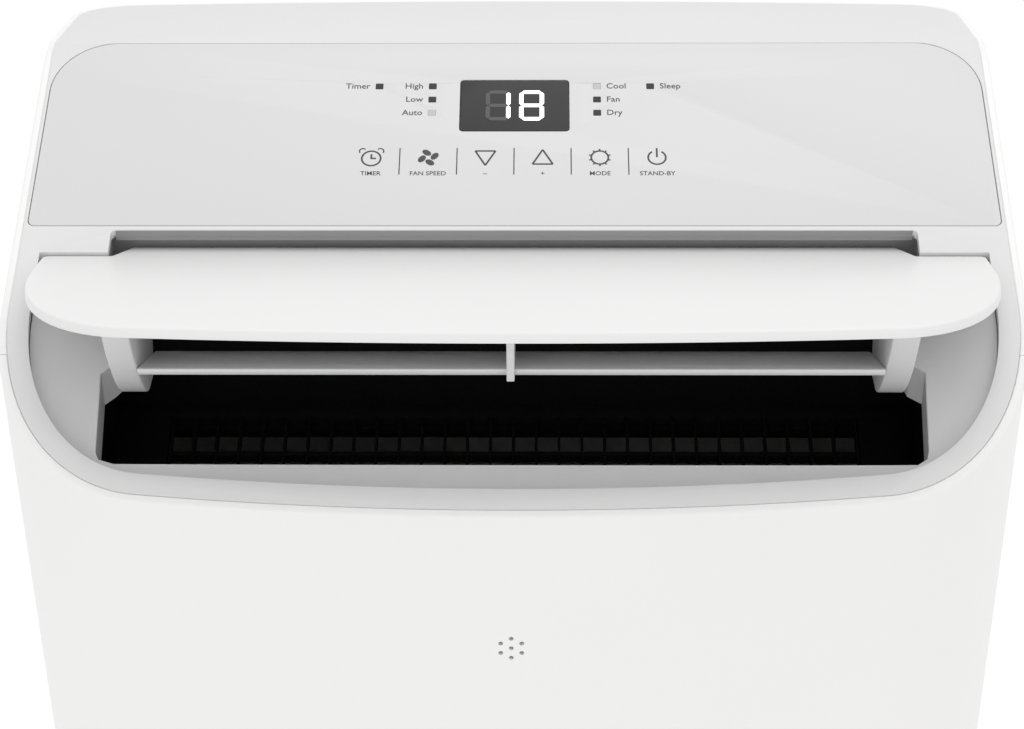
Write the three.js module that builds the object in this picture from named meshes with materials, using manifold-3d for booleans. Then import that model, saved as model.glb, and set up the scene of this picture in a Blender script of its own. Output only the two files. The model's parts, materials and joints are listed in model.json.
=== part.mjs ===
// Portable room air conditioner: a tall casing on four casters, a sloping top with the control panel,
// and an air outlet in front of it that a motorised flap opens. Millimetres, +Z up, front towards -Y,
// origin on the floor under the middle of the casing.
import * as THREE from 'three';
import { mergeVertices } from 'three/addons/utils/BufferGeometryUtils.js';
import Module from 'manifold-3d';

const wasm = await Module();
wasm.setup();

// ---------------------------------------------------------------- driving dimensions
const gap = 0.4; // between touching pieces
const bodyWidth = 433;
const bodyDepth = 326;
const bodyHeight = 714; // at the ridge behind the control panel
const casingBottom = 30;
const casingWall = 3.6;
const frontCornerWidth = 66;
const frontCornerDepth = 90;
const frontCrown = 6.5;
const rearCornerRadius = 28;
const rearCrown = 8;
const ridgeToRear = 90.6;
const topSlopeDeg = 22.5;
const rearSlopeDeg = 11;
const seamBehindFront = 73; // parting between front and rear casing

const coverThickness = 3.5;
const bezelWidth = 8.5;
const panelLength = 107.1; // along the slope, from its lower edge to the ridge
const panelThickness = 2;
const panelRim = 1; // cover edge left outside the panel
const panelTopCorner = 29;
const panelLowCorner = 3;
const ledgeLength = 14.7; // from the panel's lower edge to the flap's rear edge, along the slope
const notchToSide = 42; // from the notch in the top cover to the casing's side
const notchStrip = 2.5;

const flapThickness = 4.2;
const flapGap = 1.5;
const flapSink = 0.2; // shut flap below the top slope
const flapSwingRoom = 5.9; // between the ledge and the shut flap's rear edge
const flapTabLength = 14.4; // tab behind the flap's rear edge, along the slope
const flapTabTaper = 7;
const pivotDrop = 7.6; // pivot below the flap's rear edge
const pivotBehind = 4.5;
const flapOpenDeg = 37; // rest pose, turned up from closed
const hingeClearance = 1.1;
const lugThickness = 5;
const lugRadius = 4.5;
const pinRadius = 1.6;
const pinClearance = 0.35;

const armThickness = 11;
const armClearance = 11.3; // arms inside the outlet's sides
const bladeChord = 43;
const bladeThickness = 2.4;
const bladeTiltDeg = 22;
const bladeAhead = 61.2; // middle of the blade ahead of the pivot, rest pose
const bladeDrop = 6.1; // and below it
const centreRibThickness = 3.2;

const bowlLip = 5.2; // bowl rim below the top slope
const bowlDepth = 9;
const bowlWall = 2.2;
const bowlSkirt = 16;
const openingInNotch = 2.2; // outlet's side inside the notch
const openingFlare = 2.3; // outlet wider at its shoulder than in front, each side
const openingShoulder = 7.3; // narrowing of the outlet behind its shoulder
const openingSideStep = 46.8; // side shoulder behind the opening's front edge
const openingLength = 78.8;
const openingFrontInset = 31.2; // from the casing's front face
const guardDrop = 66;
const guardBars = 31;
const guardEnd = 22.3; // outermost bar to the outlet's side
const guardBarWidth = 2;
const guardThickness = 5;
const ductWall = 2;

const windowWidth = 49;
const windowHeight = 30.4;
const windowCentre = 69.1; // up the slope from the panel's lower edge
const lampSize = 3;
const lampPitch = 7.95;
const lampTopRow = 80.6;
const lampInnerX = 37.2;
const lampOuterX = 61.4;
const receiverBelowRidge = 164;
const receiverRing = 5;
const receiverHoleRadius = 1.05;

const basePlateZ = 44;
const basePanWall = 2.5;
const basePanRim = 32;
const wheelRadius = 19;
const wheelWidth = 14;
const casterTrail = 13;
const casterFromSide = 58.5;
const casterFromFront = 59;
const casterFromRear = 51;
const forkSheet = 2;
const stemRadius = 4;

const coilToSide = 51.5;
const coilDepth = 28;
const coilGapToRear = 38;
const condenserBottom = 84;
const condenserHeight = 232;
const evaporatorBelowRidge = 222;
const evaporatorHeight = 176;
const intakeToSide = 66.5;
const slotHeight = 11;
const slotPitch = 20;
const exhaustX = 80;
const exhaustZ = 400;
const exhaustBoreRadius = 63;
const exhaustCollarWall = 6;
const exhaustCollarLength = 36;
const evaporatorWheelRadius = 74;
const condenserWheelRadius = 78;
const wheelBlades = 16;
const compressorRadius = 54;
const compressorHeight = 190;
const compressorFromSide = 104.5;
const compressorFromFront = 117;
const handleLength = 92;
const handleHeight = 34;
const handleDepth = 20;
const handleFromRear = 97;
const handleBelowRidge = 154;

// ---------------------------------------------------------------- worked-out places
const rad = THREE.MathUtils.degToRad;
const frontY = -bodyDepth / 2;
const rearY = bodyDepth / 2;
const seamY = frontY + seamBehindFront;
const ridgeY = rearY - ridgeToRear;
const slope = rad(topSlopeDeg);
const rearSlope = rad(rearSlopeDeg);
const panelLowY = ridgeY - panelLength * Math.cos(slope);
const panelLowZ = bodyHeight - panelLength * Math.sin(slope);
const coverInset = casingWall + gap;
const recessInset = coverInset + bezelWidth;
const slopeZ = (y) => bodyHeight + (y - ridgeY) * Math.tan(slope);
const rearTopZ = (y) => bodyHeight - (y - ridgeY) * Math.tan(rearSlope);
const ledgeY = panelLowY - ledgeLength * Math.cos(slope);
const flapRearY = ledgeY - flapSwingRoom;
const flapRearZ = slopeZ(flapRearY);
const pivotY = flapRearY + pivotBehind;
const pivotZ = flapRearZ - pivotDrop;
const hingeRadius = Math.hypot(flapRearY + flapTabLength * Math.cos(slope) - pivotY,
  flapRearZ + flapTabLength * Math.sin(slope) - pivotZ) + hingeClearance;
const flapDepth = flapThickness / Math.cos(slope);
const notchHalfWidth = bodyWidth / 2 - notchToSide;
const openingHalfWidth = notchHalfWidth - openingInNotch;
const openingRearHalfWidth = openingHalfWidth - openingShoulder;
const armOuterX = openingHalfWidth - armClearance;
const guardPitch = (2 * (openingHalfWidth - guardEnd)) / (guardBars - 1);
const openingFrontY = frontY + openingFrontInset;
const openingRearY = openingFrontY + openingLength;
const receiverHeight = bodyHeight - receiverBelowRidge;
const coilWidth = bodyWidth - 2 * coilToSide;
const evaporatorBottom = bodyHeight - evaporatorBelowRidge;
const intakeHalfWidth = bodyWidth / 2 - intakeToSide;
const compressorX = compressorFromSide - bodyWidth / 2;
const compressorY = frontY + compressorFromFront;
const handleY = rearY - handleFromRear;
const handleZ = bodyHeight - handleBelowRidge;
const casterX = bodyWidth / 2 - casterFromSide;
const casterFrontY = frontY + casterFromFront;
const casterRearY = rearY - casterFromRear;

// ---------------------------------------------------------------- solids and materials
function solid(geometry) {
  const bare = geometry.clone();
  bare.deleteAttribute('normal');
  bare.deleteAttribute('uv');
  const merged = mergeVertices(bare, 1e-4);
  return new wasm.Manifold(new wasm.Mesh({
    numProp: 3,
    vertProperties: new Float32Array(merged.attributes.position.array),
    triVerts: new Uint32Array(merged.index.array),
  }));
}

function geometryOf(manifold) {
  const mesh = manifold.getMesh();
  const geometry = new THREE.BufferGeometry();
  geometry.setAttribute('position', new THREE.BufferAttribute(mesh.vertProperties, 3));
  geometry.setIndex(new THREE.BufferAttribute(mesh.triVerts, 1));
  const flat = geometry.toNonIndexed();
  flat.computeVertexNormals();
  return flat;
}

const finish = (color, roughness, metalness = 0) => (
  new THREE.MeshStandardMaterial({ color, roughness, metalness }));
const white = finish(0xf0f0ef, 0.42);
const panelGrey = finish(0xdddddd, 0.35);
const flapWhite = finish(0xebebea, 0.4);
const bezelGrey = finish(0xdedede, 0.42);
const bowlGrey = finish(0xb9b9b9, 0.5);
const smoked = finish(0x3c3c3e, 0.15);
const black = finish(0x0c0c0d, 0.7);
const darkPlastic = finish(0x2b2c2e, 0.6);
const foamWhite = finish(0xd5d8d6, 0.9);
const copper = finish(0xb4713f, 0.35, 1);
const finAluminium = finish(0xb8bcc0, 0.4, 1);
const paintedBlack = finish(0x17181a, 0.45, 0.2);
const steel = finish(0x9a9da0, 0.35, 1);
const boardGreen = finish(0x1d5a35, 0.5);
const rubber = finish(0x1b1b1c, 0.85);

const unit = new THREE.Group();
function add(name, piece, material, parent = unit) {
  const mesh = new THREE.Mesh(geometryOf(piece), material);
  mesh.name = name;
  parent.add(mesh);
  return mesh;
}

const box = (x0, x1, y0, y1, z0, z1) => solid(
  new THREE.BoxGeometry(x1 - x0, y1 - y0, z1 - z0)
    .translate((x0 + x1) / 2, (y0 + y1) / 2, (z0 + z1) / 2));

// Round bars along each axis.
const barX = (x0, x1, y, z, r, sides = 20) => solid(
  new THREE.CylinderGeometry(r, r, x1 - x0, sides).rotateZ(-Math.PI / 2).translate((x0 + x1) / 2, y, z));
const barY = (x, y0, y1, z, r, sides = 24) => solid(
  new THREE.CylinderGeometry(r, r, y1 - y0, sides).translate(x, (y0 + y1) / 2, z));
const barZ = (x, y, z0, z1, r, sides = 20) => solid(
  new THREE.CylinderGeometry(r, r, z1 - z0, sides).rotateX(Math.PI / 2).translate(x, y, (z0 + z1) / 2));

// Outlines pushed into a thickness: up, along X from a (y, z) outline, and along Y from an (x, z) one.
const flatExtrude = (shape, depth, curveSegments = 8) => (
  new THREE.ExtrudeGeometry(shape, { depth, bevelEnabled: false, curveSegments }));
const upward = (shape, z0, z1, curveSegments) => solid(
  flatExtrude(shape, z1 - z0, curveSegments).translate(0, 0, z0));
const alongX = (shape, x0, x1) => {
  const turn = new THREE.Matrix4().makeBasis(
    new THREE.Vector3(0, 1, 0), new THREE.Vector3(0, 0, 1), new THREE.Vector3(1, 0, 0));
  return solid(flatExtrude(shape, x1 - x0).applyMatrix4(turn).translate(x0, 0, 0));
};
const alongY = (shape, y0, y1, curveSegments) => solid(
  flatExtrude(shape, y1 - y0, curveSegments).rotateX(Math.PI / 2).translate(0, y1, 0));

const polygon = (points) => new THREE.Shape(points.map(([a, b]) => new THREE.Vector2(a, b)));

function roundedRectangle(x0, x1, y0, y1, r) {
  const shape = new THREE.Shape();
  shape.absarc(x1 - r, y0 + r, r, -Math.PI / 2, 0, false);
  shape.absarc(x1 - r, y1 - r, r, 0, Math.PI / 2, false);
  shape.absarc(x0 + r, y1 - r, r, Math.PI / 2, Math.PI, false);
  shape.absarc(x0 + r, y0 + r, r, Math.PI, Math.PI * 1.5, false);
  return shape;
}

// A pipe of round section along a smooth route.
function pipe(points, r) {
  const route = new THREE.CatmullRomCurve3(points.map((p) => new THREE.Vector3(...p)), false, 'centripetal');
  const section = new THREE.Shape();
  section.absarc(0, 0, r, 0, Math.PI * 2, false);
  return solid(new THREE.ExtrudeGeometry(section, {
    steps: 18, bevelEnabled: false, extrudePath: route, curveSegments: 3,
  }));
}

// A closed ring of walls: each loop of points is joined to the next, and the last to the first.
function ringSolid(loops) {
  const count = loops[0].length;
  const positions = loops.flat(2);
  const index = [];
  loops.forEach((loop, i) => {
    const here = i * count;
    const next = ((i + 1) % loops.length) * count;
    for (let k = 0; k < count; k += 1) {
      const n = (k + 1) % count;
      index.push(here + k, here + n, next + n, here + k, next + n, next + k);
    }
  });
  const geometry = new THREE.BufferGeometry();
  geometry.setAttribute('position', new THREE.Float32BufferAttribute(positions, 3));
  geometry.setIndex(index);
  const made = solid(geometry);
  if (made.volume() > 0) return made;
  for (let i = 0; i < index.length; i += 3) [index[i + 1], index[i + 2]] = [index[i + 2], index[i + 1]];
  geometry.setIndex(index);
  return solid(geometry);
}

// Turns a solid about an axis along X through (y, z).
function turnedAboutX(piece, y, z, angleDeg) {
  const mesh = piece.getMesh();
  const geometry = new THREE.BufferGeometry();
  geometry.setAttribute('position', new THREE.BufferAttribute(mesh.vertProperties, 3));
  geometry.setIndex(new THREE.BufferAttribute(mesh.triVerts, 1));
  geometry.translate(0, -y, -z).rotateX(rad(angleDeg)).translate(0, y, z);
  return solid(geometry);
}

// Lays a solid made flat in (x, up-slope, normal) on the sloping top, from the panel's lower edge.
function onSlope(geometry) {
  return solid(geometry.rotateX(slope).translate(0, panelLowY, panelLowZ));
}
const slab = (shape, n0, n1, curveSegments) => (
  onSlope(flatExtrude(shape, n1 - n0, curveSegments).translate(0, 0, n0)));

// ---------------------------------------------------------------- body outlines
// The casing seen from above, pulled in by inset: crowned front, long soft front corners, tight rear ones.
function planOutline(inset) {
  const halfWidth = bodyWidth / 2 - inset;
  const front = frontY + inset;
  const rear = rearY - inset;
  const cornerWidth = frontCornerWidth - inset;
  const cornerDepth = frontCornerDepth - inset;
  const rearRadius = Math.max(rearCornerRadius - inset, 2);
  const frontHalf = halfWidth - cornerWidth;
  const rearHalf = halfWidth - rearRadius;
  const lean = (2 * frontCrown) / frontHalf;
  const rearLean = (2 * rearCrown) / rearHalf;
  const pull = 0.5523;
  const sideFront = front + frontCrown + cornerDepth;
  const sideRear = rear - rearCrown - rearRadius;
  const shape = new THREE.Shape();
  shape.moveTo(-frontHalf, front + frontCrown);
  shape.quadraticCurveTo(0, front - frontCrown, frontHalf, front + frontCrown);
  shape.bezierCurveTo(frontHalf + pull * cornerWidth, front + frontCrown + pull * cornerWidth * lean,
    halfWidth, sideFront - pull * cornerDepth, halfWidth, sideFront);
  shape.lineTo(halfWidth, sideRear);
  shape.bezierCurveTo(halfWidth, sideRear + pull * rearRadius,
    rearHalf + pull * rearRadius, rear - rearCrown - pull * rearRadius * rearLean,
    rearHalf, rear - rearCrown);
  shape.quadraticCurveTo(0, rear + rearCrown, -rearHalf, rear - rearCrown);
  shape.bezierCurveTo(-rearHalf - pull * rearRadius, rear - rearCrown - pull * rearRadius * rearLean,
    -halfWidth, sideRear + pull * rearRadius, -halfWidth, sideRear);
  shape.lineTo(-halfWidth, sideFront);
  shape.bezierCurveTo(-halfWidth, sideFront - pull * cornerDepth,
    -frontHalf - pull * cornerWidth, front + frontCrown + pull * cornerWidth * lean,
    -frontHalf, front + frontCrown);
  return shape;
}

// Everything under the top surface, lowered by drop.
function underTop(drop, bottom = casingBottom) {
  const reach = bodyDepth;
  return alongX(polygon([
    [-reach, bottom], [reach, bottom], [reach, rearTopZ(reach) - drop],
    [ridgeY, bodyHeight - drop], [-reach, slopeZ(-reach) - drop],
  ]), -bodyWidth, bodyWidth);
}

// The part of the outline's wall between two insets, from bottom to the top surface.
function shellWall(outer, inner, bottom = casingBottom, curveSegments = 8) {
  const top = bodyHeight + gap;
  return upward(planOutline(outer), bottom, top, curveSegments)
    .subtract(upward(planOutline(inner), bottom - 1, top + 1, curveSegments))
    .intersect(underTop(0, bottom));
}

// ---------------------------------------------------------------- casings
const exhaustHoleRadius = exhaustBoreRadius + exhaustCollarWall + gap;
const upperIntake = { x0: -intakeHalfWidth, x1: intakeHalfWidth, z0: evaporatorBottom,
  z1: evaporatorBottom + evaporatorHeight };
const lowerIntake = { x0: -coilWidth / 2, x1: coilWidth / 2, z0: condenserBottom + 8,
  z1: condenserBottom + condenserHeight - 8 };
const drainCapRadius = 11;
const upperDrain = { x: -110, z: evaporatorBottom - 36 };
const lowerDrain = { x: -60, z: basePlateZ + 17 };
const cordGland = { x: -150, z: condenserBottom + condenserHeight + 32, radius: 10 };

function frontCasing() {
  let casing = shellWall(0, casingWall).intersect(
    box(-bodyWidth, bodyWidth, -bodyDepth, seamY - gap / 2, 0, bodyHeight));
  for (let i = 0; i < 7; i += 1) {
    const angle = rad(60 * i + 30);
    const out = i < 6 ? receiverRing : 0;
    casing = casing.subtract(barY(out * Math.cos(angle), frontY - 2, frontY + casingWall + 2,
      receiverHeight + out * Math.sin(angle), receiverHoleRadius, 10));
  }
  return casing;
}

const intakeBox = ({ x0, x1, z0, z1 }, grow) => (
  box(x0 - grow, x1 + grow, rearY - rearCrown * 2.5, rearY + 5, z0 - grow, z1 + grow));
const handleBox = (side, grow, depth) => {
  const inner = bodyWidth / 2 - depth;
  const [x0, x1] = side > 0 ? [inner, bodyWidth / 2 + 4] : [-bodyWidth / 2 - 4, -inner];
  const halfLength = handleLength / 2 + grow;
  const halfHeight = handleHeight / 2 + grow;
  return box(x0, x1, handleY - halfLength, handleY + halfLength, handleZ - halfHeight, handleZ + halfHeight);
};

function rearCasing() {
  let casing = shellWall(0, casingWall).intersect(
    box(-bodyWidth, bodyWidth, seamY + gap / 2, bodyDepth, 0, bodyHeight + 1));
  const rearBar = (x, z, r) => barY(x, rearY - 20, rearY + 5, z, r, 36);
  casing = casing
    .subtract(intakeBox(upperIntake, gap))
    .subtract(intakeBox(lowerIntake, gap))
    .subtract(rearBar(exhaustX, exhaustZ, exhaustHoleRadius))
    .subtract(rearBar(upperDrain.x, upperDrain.z, drainCapRadius + gap))
    .subtract(rearBar(lowerDrain.x, lowerDrain.z, drainCapRadius + gap))
    .subtract(rearBar(cordGland.x, cordGland.z, cordGland.radius + gap));
  for (const side of [-1, 1]) casing = casing.subtract(handleBox(side, gap, handleDepth));
  return casing;
}

function intakeGrille({ x0, x1, z0, z1 }) {
  let grille = shellWall(0, casingWall, z0 - 20, 5).intersect(box(x0, x1, 0, bodyDepth, z0, z1));
  const rim = 8;
  const columns = 2;
  const columnWidth = (x1 - x0 - rim) / columns;
  const rows = Math.floor((z1 - z0 - 2 * rim) / slotPitch);
  const firstZ = (z0 + z1) / 2 - (rows * slotPitch) / 2 + (slotPitch - slotHeight) / 2;
  for (let c = 0; c < columns; c += 1) {
    const left = x0 + rim / 2 + c * columnWidth + rim / 2;
    for (let r = 0; r < rows; r += 1) {
      const low = firstZ + r * slotPitch;
      grille = grille.subtract(box(left, left + columnWidth - rim, 0, bodyDepth, low, low + slotHeight));
    }
  }
  return grille;
}

function sideHandle(side) {
  const wall = 1.8;
  const outer = handleBox(side, 0, handleDepth + wall);
  const inner = handleBox(side, -wall, handleDepth);
  return outer.subtract(inner).intersect(upward(planOutline(0), 0, bodyHeight));
}

add('front_casing', frontCasing(), white);
add('rear_casing', rearCasing(), white);
add('upper_intake_grille', intakeGrille(upperIntake), white);
add('lower_intake_grille', intakeGrille(lowerIntake), white);
add('side_handle_left', sideHandle(-1), white);
add('side_handle_right', sideHandle(1), white);

// ---------------------------------------------------------------- top cover, panel and display
const panelHalfWidth = bodyWidth / 2 - coverInset - panelRim - gap;

function panelOutline(grow) {
  const half = panelHalfWidth + grow;
  const low = -grow;
  const high = panelLength + grow;
  const small = panelLowCorner + grow;
  const large = panelTopCorner + grow;
  const shape = new THREE.Shape();
  shape.absarc(half - small, low + small, small, -Math.PI / 2, 0, false);
  shape.absarc(half - large, high - large, large, 0, Math.PI / 2, false);
  shape.absarc(-half + large, high - large, large, Math.PI / 2, Math.PI, false);
  shape.absarc(-half + small, low + small, small, Math.PI, Math.PI * 1.5, false);
  return shape;
}

const panelSettle = 0.8; // panel's top edge below the ridge, along the slope
const recessBox = (inset, rear) => upward(planOutline(inset), casingBottom, bodyHeight)
  .intersect(box(-bodyWidth, bodyWidth, -bodyDepth, rear, casingBottom, bodyHeight));

function hingeTrough() {
  const outer = hingeRadius + bowlWall;
  const shape = new THREE.Shape();
  const start = rad(50);
  const end = rad(-150);
  shape.absarc(pivotY, pivotZ, outer, end, start, false);
  shape.absarc(pivotY, pivotZ, hingeRadius, start, end, true);
  const trough = alongX(shape, -notchHalfWidth - bowlWall, notchHalfWidth + bowlWall);
  const underFlap = underTop(flapDepth + 2 * gap);
  const bearingTop = pivotZ + pinRadius + pinClearance + 0.4;
  const endPlate = (side) => {
    const x = side * (notchHalfWidth + gap + bowlWall / 2);
    const plate = barX(x - bowlWall / 2, x + bowlWall / 2, pivotY, pivotZ, outer, 28);
    const lower = box(-bodyWidth, bodyWidth, -bodyDepth, pivotY + flapSwingRoom, 0, bearingTop);
    const rear = box(-bodyWidth, bodyWidth, pivotY + flapSwingRoom - 1, bodyDepth, 0, bodyHeight);
    return plate.intersect(underFlap).intersect(lower.add(rear))
      .subtract(barX(x - bowlWall, x + bowlWall, pivotY, pivotZ, pinRadius + pinClearance, 16));
  };
  const underPanel = underTop(panelThickness / Math.cos(slope) + gap);
  return trough.intersect(underPanel).add(endPlate(-1)).add(endPlate(1));
}

function topCover() {
  const skin = upward(planOutline(coverInset), casingBottom, bodyHeight + 1)
    .intersect(underTop(0).subtract(underTop(coverThickness, casingBottom - 1)));
  const notch = box(-notchHalfWidth, notchHalfWidth, ledgeY - 20,
    panelLowY - notchStrip * Math.cos(slope), casingBottom, bodyHeight);
  const pocket = slab(panelOutline(gap), -panelThickness - gap, 20);
  return skin
    .subtract(recessBox(recessInset, ledgeY))
    .subtract(pocket)
    .subtract(notch)
    .add(hingeTrough());
}

const windowOutline = (grow) => roundedRectangle(-windowWidth / 2 - grow, windowWidth / 2 + grow,
  windowCentre - windowHeight / 2 - grow, windowCentre + windowHeight / 2 + grow, 1.6 + grow);

// Indicator lamps: three beside the display and one further out, on each side.
const lampPlaces = (side) => [
  [side * lampOuterX, lampTopRow],
  [side * lampInnerX, lampTopRow],
  [side * lampInnerX, lampTopRow - lampPitch],
  [side * lampInnerX, lampTopRow - 2 * lampPitch],
];
const lampOutline = ([x, s], grow) => {
  const half = lampSize / 2 + grow;
  return polygon([[x - half, s - half], [x + half, s - half], [x + half, s + half], [x - half, s + half]]);
};

function controlPanel() {
  let panel = slab(panelOutline(-panelSettle), -panelThickness, 0)
    .subtract(slab(windowOutline(0.25), -panelThickness - 1, 1, 4));
  for (const side of [-1, 1]) {
    for (const place of lampPlaces(side)) {
      panel = panel.subtract(slab(lampOutline(place, 0.25), -panelThickness - 1, 1));
    }
  }
  return panel;
}

const coverUnderside = -coverThickness * Math.cos(slope);
const lensTop = coverUnderside - gap;
function indicatorLens(side) {
  const [outer, inner] = [side * (lampOuterX + 4), side * (lampInnerX - 4)];
  let lens = slab(roundedRectangle(Math.min(outer, inner), Math.max(outer, inner),
    lampTopRow - 2 * lampPitch - 4, lampTopRow + 4, 1), lensTop - 2, lensTop, 2);
  for (const place of lampPlaces(side)) lens = lens.add(slab(lampOutline(place, 0), lensTop - 1, -0.1));
  return lens;
}

// The cover is open under the display and the lamps.
function lampAndWindowCuts(cover) {
  let cut = cover.subtract(slab(windowOutline(-0.8), -20, 2, 3));
  for (const side of [-1, 1]) {
    for (const place of lampPlaces(side)) cut = cut.subtract(slab(lampOutline(place, 0.25), -20, 2));
  }
  return cut;
}

add('top_cover', lampAndWindowCuts(topCover()), bezelGrey);
add('control_panel', controlPanel(), panelGrey);
add('display_window', slab(windowOutline(0), -panelThickness, -0.05, 4), smoked);
add('indicator_lens_left', indicatorLens(-1), foamWhite);
add('indicator_lens_right', indicatorLens(1), foamWhite);
add('display_module', slab(roundedRectangle(-windowWidth / 2 + 3, windowWidth / 2 - 3,
  windowCentre - windowHeight / 2 + 3, windowCentre + windowHeight / 2 - 3, 1),
lensTop - 7, lensTop - 0.6, 2), darkPlastic);
add('control_board', slab(roundedRectangle(-80, 80, 18, 92, 3), lensTop - 9.2, lensTop - 7.4, 2), boardGreen);

// ---------------------------------------------------------------- outlet bowl, duct and guard
// A point of an outline in the direction of angle from a centre.
function outlineRay(points, cx, cy, angle) {
  const dx = Math.cos(angle);
  const dy = Math.sin(angle);
  let best = null;
  points.forEach((a, i) => {
    const b = points[(i + 1) % points.length];
    const ex = b.x - a.x;
    const ey = b.y - a.y;
    const det = ex * dy - ey * dx;
    if (Math.abs(det) < 1e-9) return;
    const t = (ex * (a.y - cy) - ey * (a.x - cx)) / det;
    const u = (dx * (a.y - cy) - dy * (a.x - cx)) / det;
    if (t > 0 && u >= -1e-6 && u <= 1 + 1e-6 && (best === null || t < best)) best = t;
  });
  return [cx + best * dx, cy + best * dy];
}

function openingOutline(grow) {
  const front = openingFrontY - grow;
  const shoulder = openingFrontY + openingSideStep;
  const wide = openingHalfWidth + grow;
  const narrow = openingRearHalfWidth + grow;
  const r = 6 + grow;
  const shape = new THREE.Shape();
  shape.absarc(wide - openingFlare - r, front + r, r, -Math.PI / 2, 0, false);
  shape.lineTo(wide, shoulder - 4 + grow / 2);
  shape.lineTo(narrow, shoulder + grow / 2);
  shape.lineTo(narrow, openingRearY + grow);
  shape.lineTo(-narrow, openingRearY + grow);
  shape.lineTo(-narrow, shoulder + grow / 2);
  shape.lineTo(-wide, shoulder - 4 + grow / 2);
  shape.absarc(-wide + openingFlare + r, front + r, r, Math.PI, Math.PI * 1.5, false);
  return shape;
}

const bowlRear = openingRearY + 8;
function outletBowl() {
  const centreY = openingFrontY + openingSideStep - 3;
  const rim = planOutline(recessInset + gap).getPoints(14)
    .map((p) => new THREE.Vector2(p.x, Math.min(p.y, bowlRear)));
  const opening = openingOutline(0).getPoints(6);
  const throat = openingOutline(bowlWall).getPoints(6);
  const count = 76;
  const loop = (blend, inner, drop) => Array.from({ length: count }, (_, k) => {
    const angle = (k / count) * Math.PI * 2 + 0.013;
    const [ax, ay] = outlineRay(rim, 0, centreY, angle);
    const [bx, by] = outlineRay(inner, 0, centreY, angle);
    const y = ay + (by - ay) * blend;
    return [ax + (bx - ax) * blend, y, slopeZ(y) - drop];
  });
  const dish = (blend) => bowlLip + 1 + (bowlDepth - bowlLip - 1) * Math.sin((blend * Math.PI) / 2);
  const blends = [0.12, 0.4, 0.7, 1];
  const bowl = ringSolid([
    loop(0, opening, bowlLip),
    ...blends.map((b) => loop(b, opening, dish(b))),
    loop(1, opening, bowlDepth + bowlSkirt),
    loop(1, throat, bowlDepth + bowlSkirt),
    loop(1, throat, dish(1) + bowlWall + 0.4),
    loop(0.4, throat, dish(0.4) + bowlWall + 0.4),
    loop(0, throat, bowlLip + bowlWall + 3),
  ]);
  const hingeRoom = barX(-notchHalfWidth - 12, notchHalfWidth + 12, pivotY, pivotZ,
    hingeRadius + bowlWall + gap, 28);
  return bowl.subtract(hingeRoom)
    .subtract(box(-bodyWidth, bodyWidth, openingRearY - 2, bodyDepth, 0, bodyHeight));
}

const guardZ = (y) => slopeZ(y) - guardDrop;
const ductOuter = { x: openingHalfWidth + bowlWall + gap + ductWall,
  y0: openingFrontY - bowlWall - gap - ductWall, y1: openingRearY + bowlWall + gap + ductWall };

function slopingBand(x0, x1, y0, y1, drop0, drop1) {
  return alongX(polygon([
    [y0, slopeZ(y0) - drop1], [y1, slopeZ(y1) - drop1], [y1, slopeZ(y1) - drop0], [y0, slopeZ(y0) - drop0],
  ]), x0, x1);
}

function outletDuct() {
  const { x, y0, y1 } = ductOuter;
  const top = bowlDepth + bowlWall + 1.2;
  const outer = slopingBand(-x, x, y0, y1, top, guardDrop + guardThickness + 14);
  const inner = slopingBand(-x + ductWall, x - ductWall, y0 + ductWall, y1 - ductWall, top - 5,
    guardDrop + guardThickness + 20);
  const shelf = slopingBand(-x, x, y0, y1, guardDrop + guardThickness + gap, guardDrop + guardThickness + 3)
    .subtract(slopingBand(-x + 12, x - 12, y0 + 10, y1 - 10, guardDrop, guardDrop + 40));
  return outer.subtract(inner).add(shelf.intersect(outer))
    .subtract(barX(-bodyWidth, bodyWidth, pivotY, pivotZ, hingeRadius + bowlWall + gap, 28));
}

function outletGuard() {
  const x = ductOuter.x - ductWall - gap;
  const y0 = ductOuter.y0 + ductWall + gap;
  const y1 = ductOuter.y1 - ductWall - gap;
  const half = (guardBars - 1) / 2;
  let guard = slopingBand(-x, x, y0, y1, guardDrop, guardDrop + guardThickness);
  const barGap = guardPitch - guardBarWidth;
  const crossY = (y0 + y1) / 2 + 18;
  for (let i = 0; i < guardBars - 1; i += 1) {
    const left = (i - half) * guardPitch + guardBarWidth / 2;
    guard = guard
      .subtract(box(left, left + barGap, y0 + 7, crossY - 1, 0, bodyHeight))
      .subtract(box(left, left + barGap, crossY + 1, y1 - 7, 0, bodyHeight));
  }
  return guard;
}

add('outlet_bowl', outletBowl(), bowlGrey);
add('outlet_duct', outletDuct(), black);
add('outlet_guard', outletGuard(), black);

// ---------------------------------------------------------------- louvre: flap, arms, blade and pins
function flapOutline() {
  const inset = recessInset + flapGap;
  return upward(planOutline(inset), casingBottom, bodyHeight)
    .intersect(box(-bodyWidth, bodyWidth, -bodyDepth, flapRearY, casingBottom, bodyHeight));
}

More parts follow.
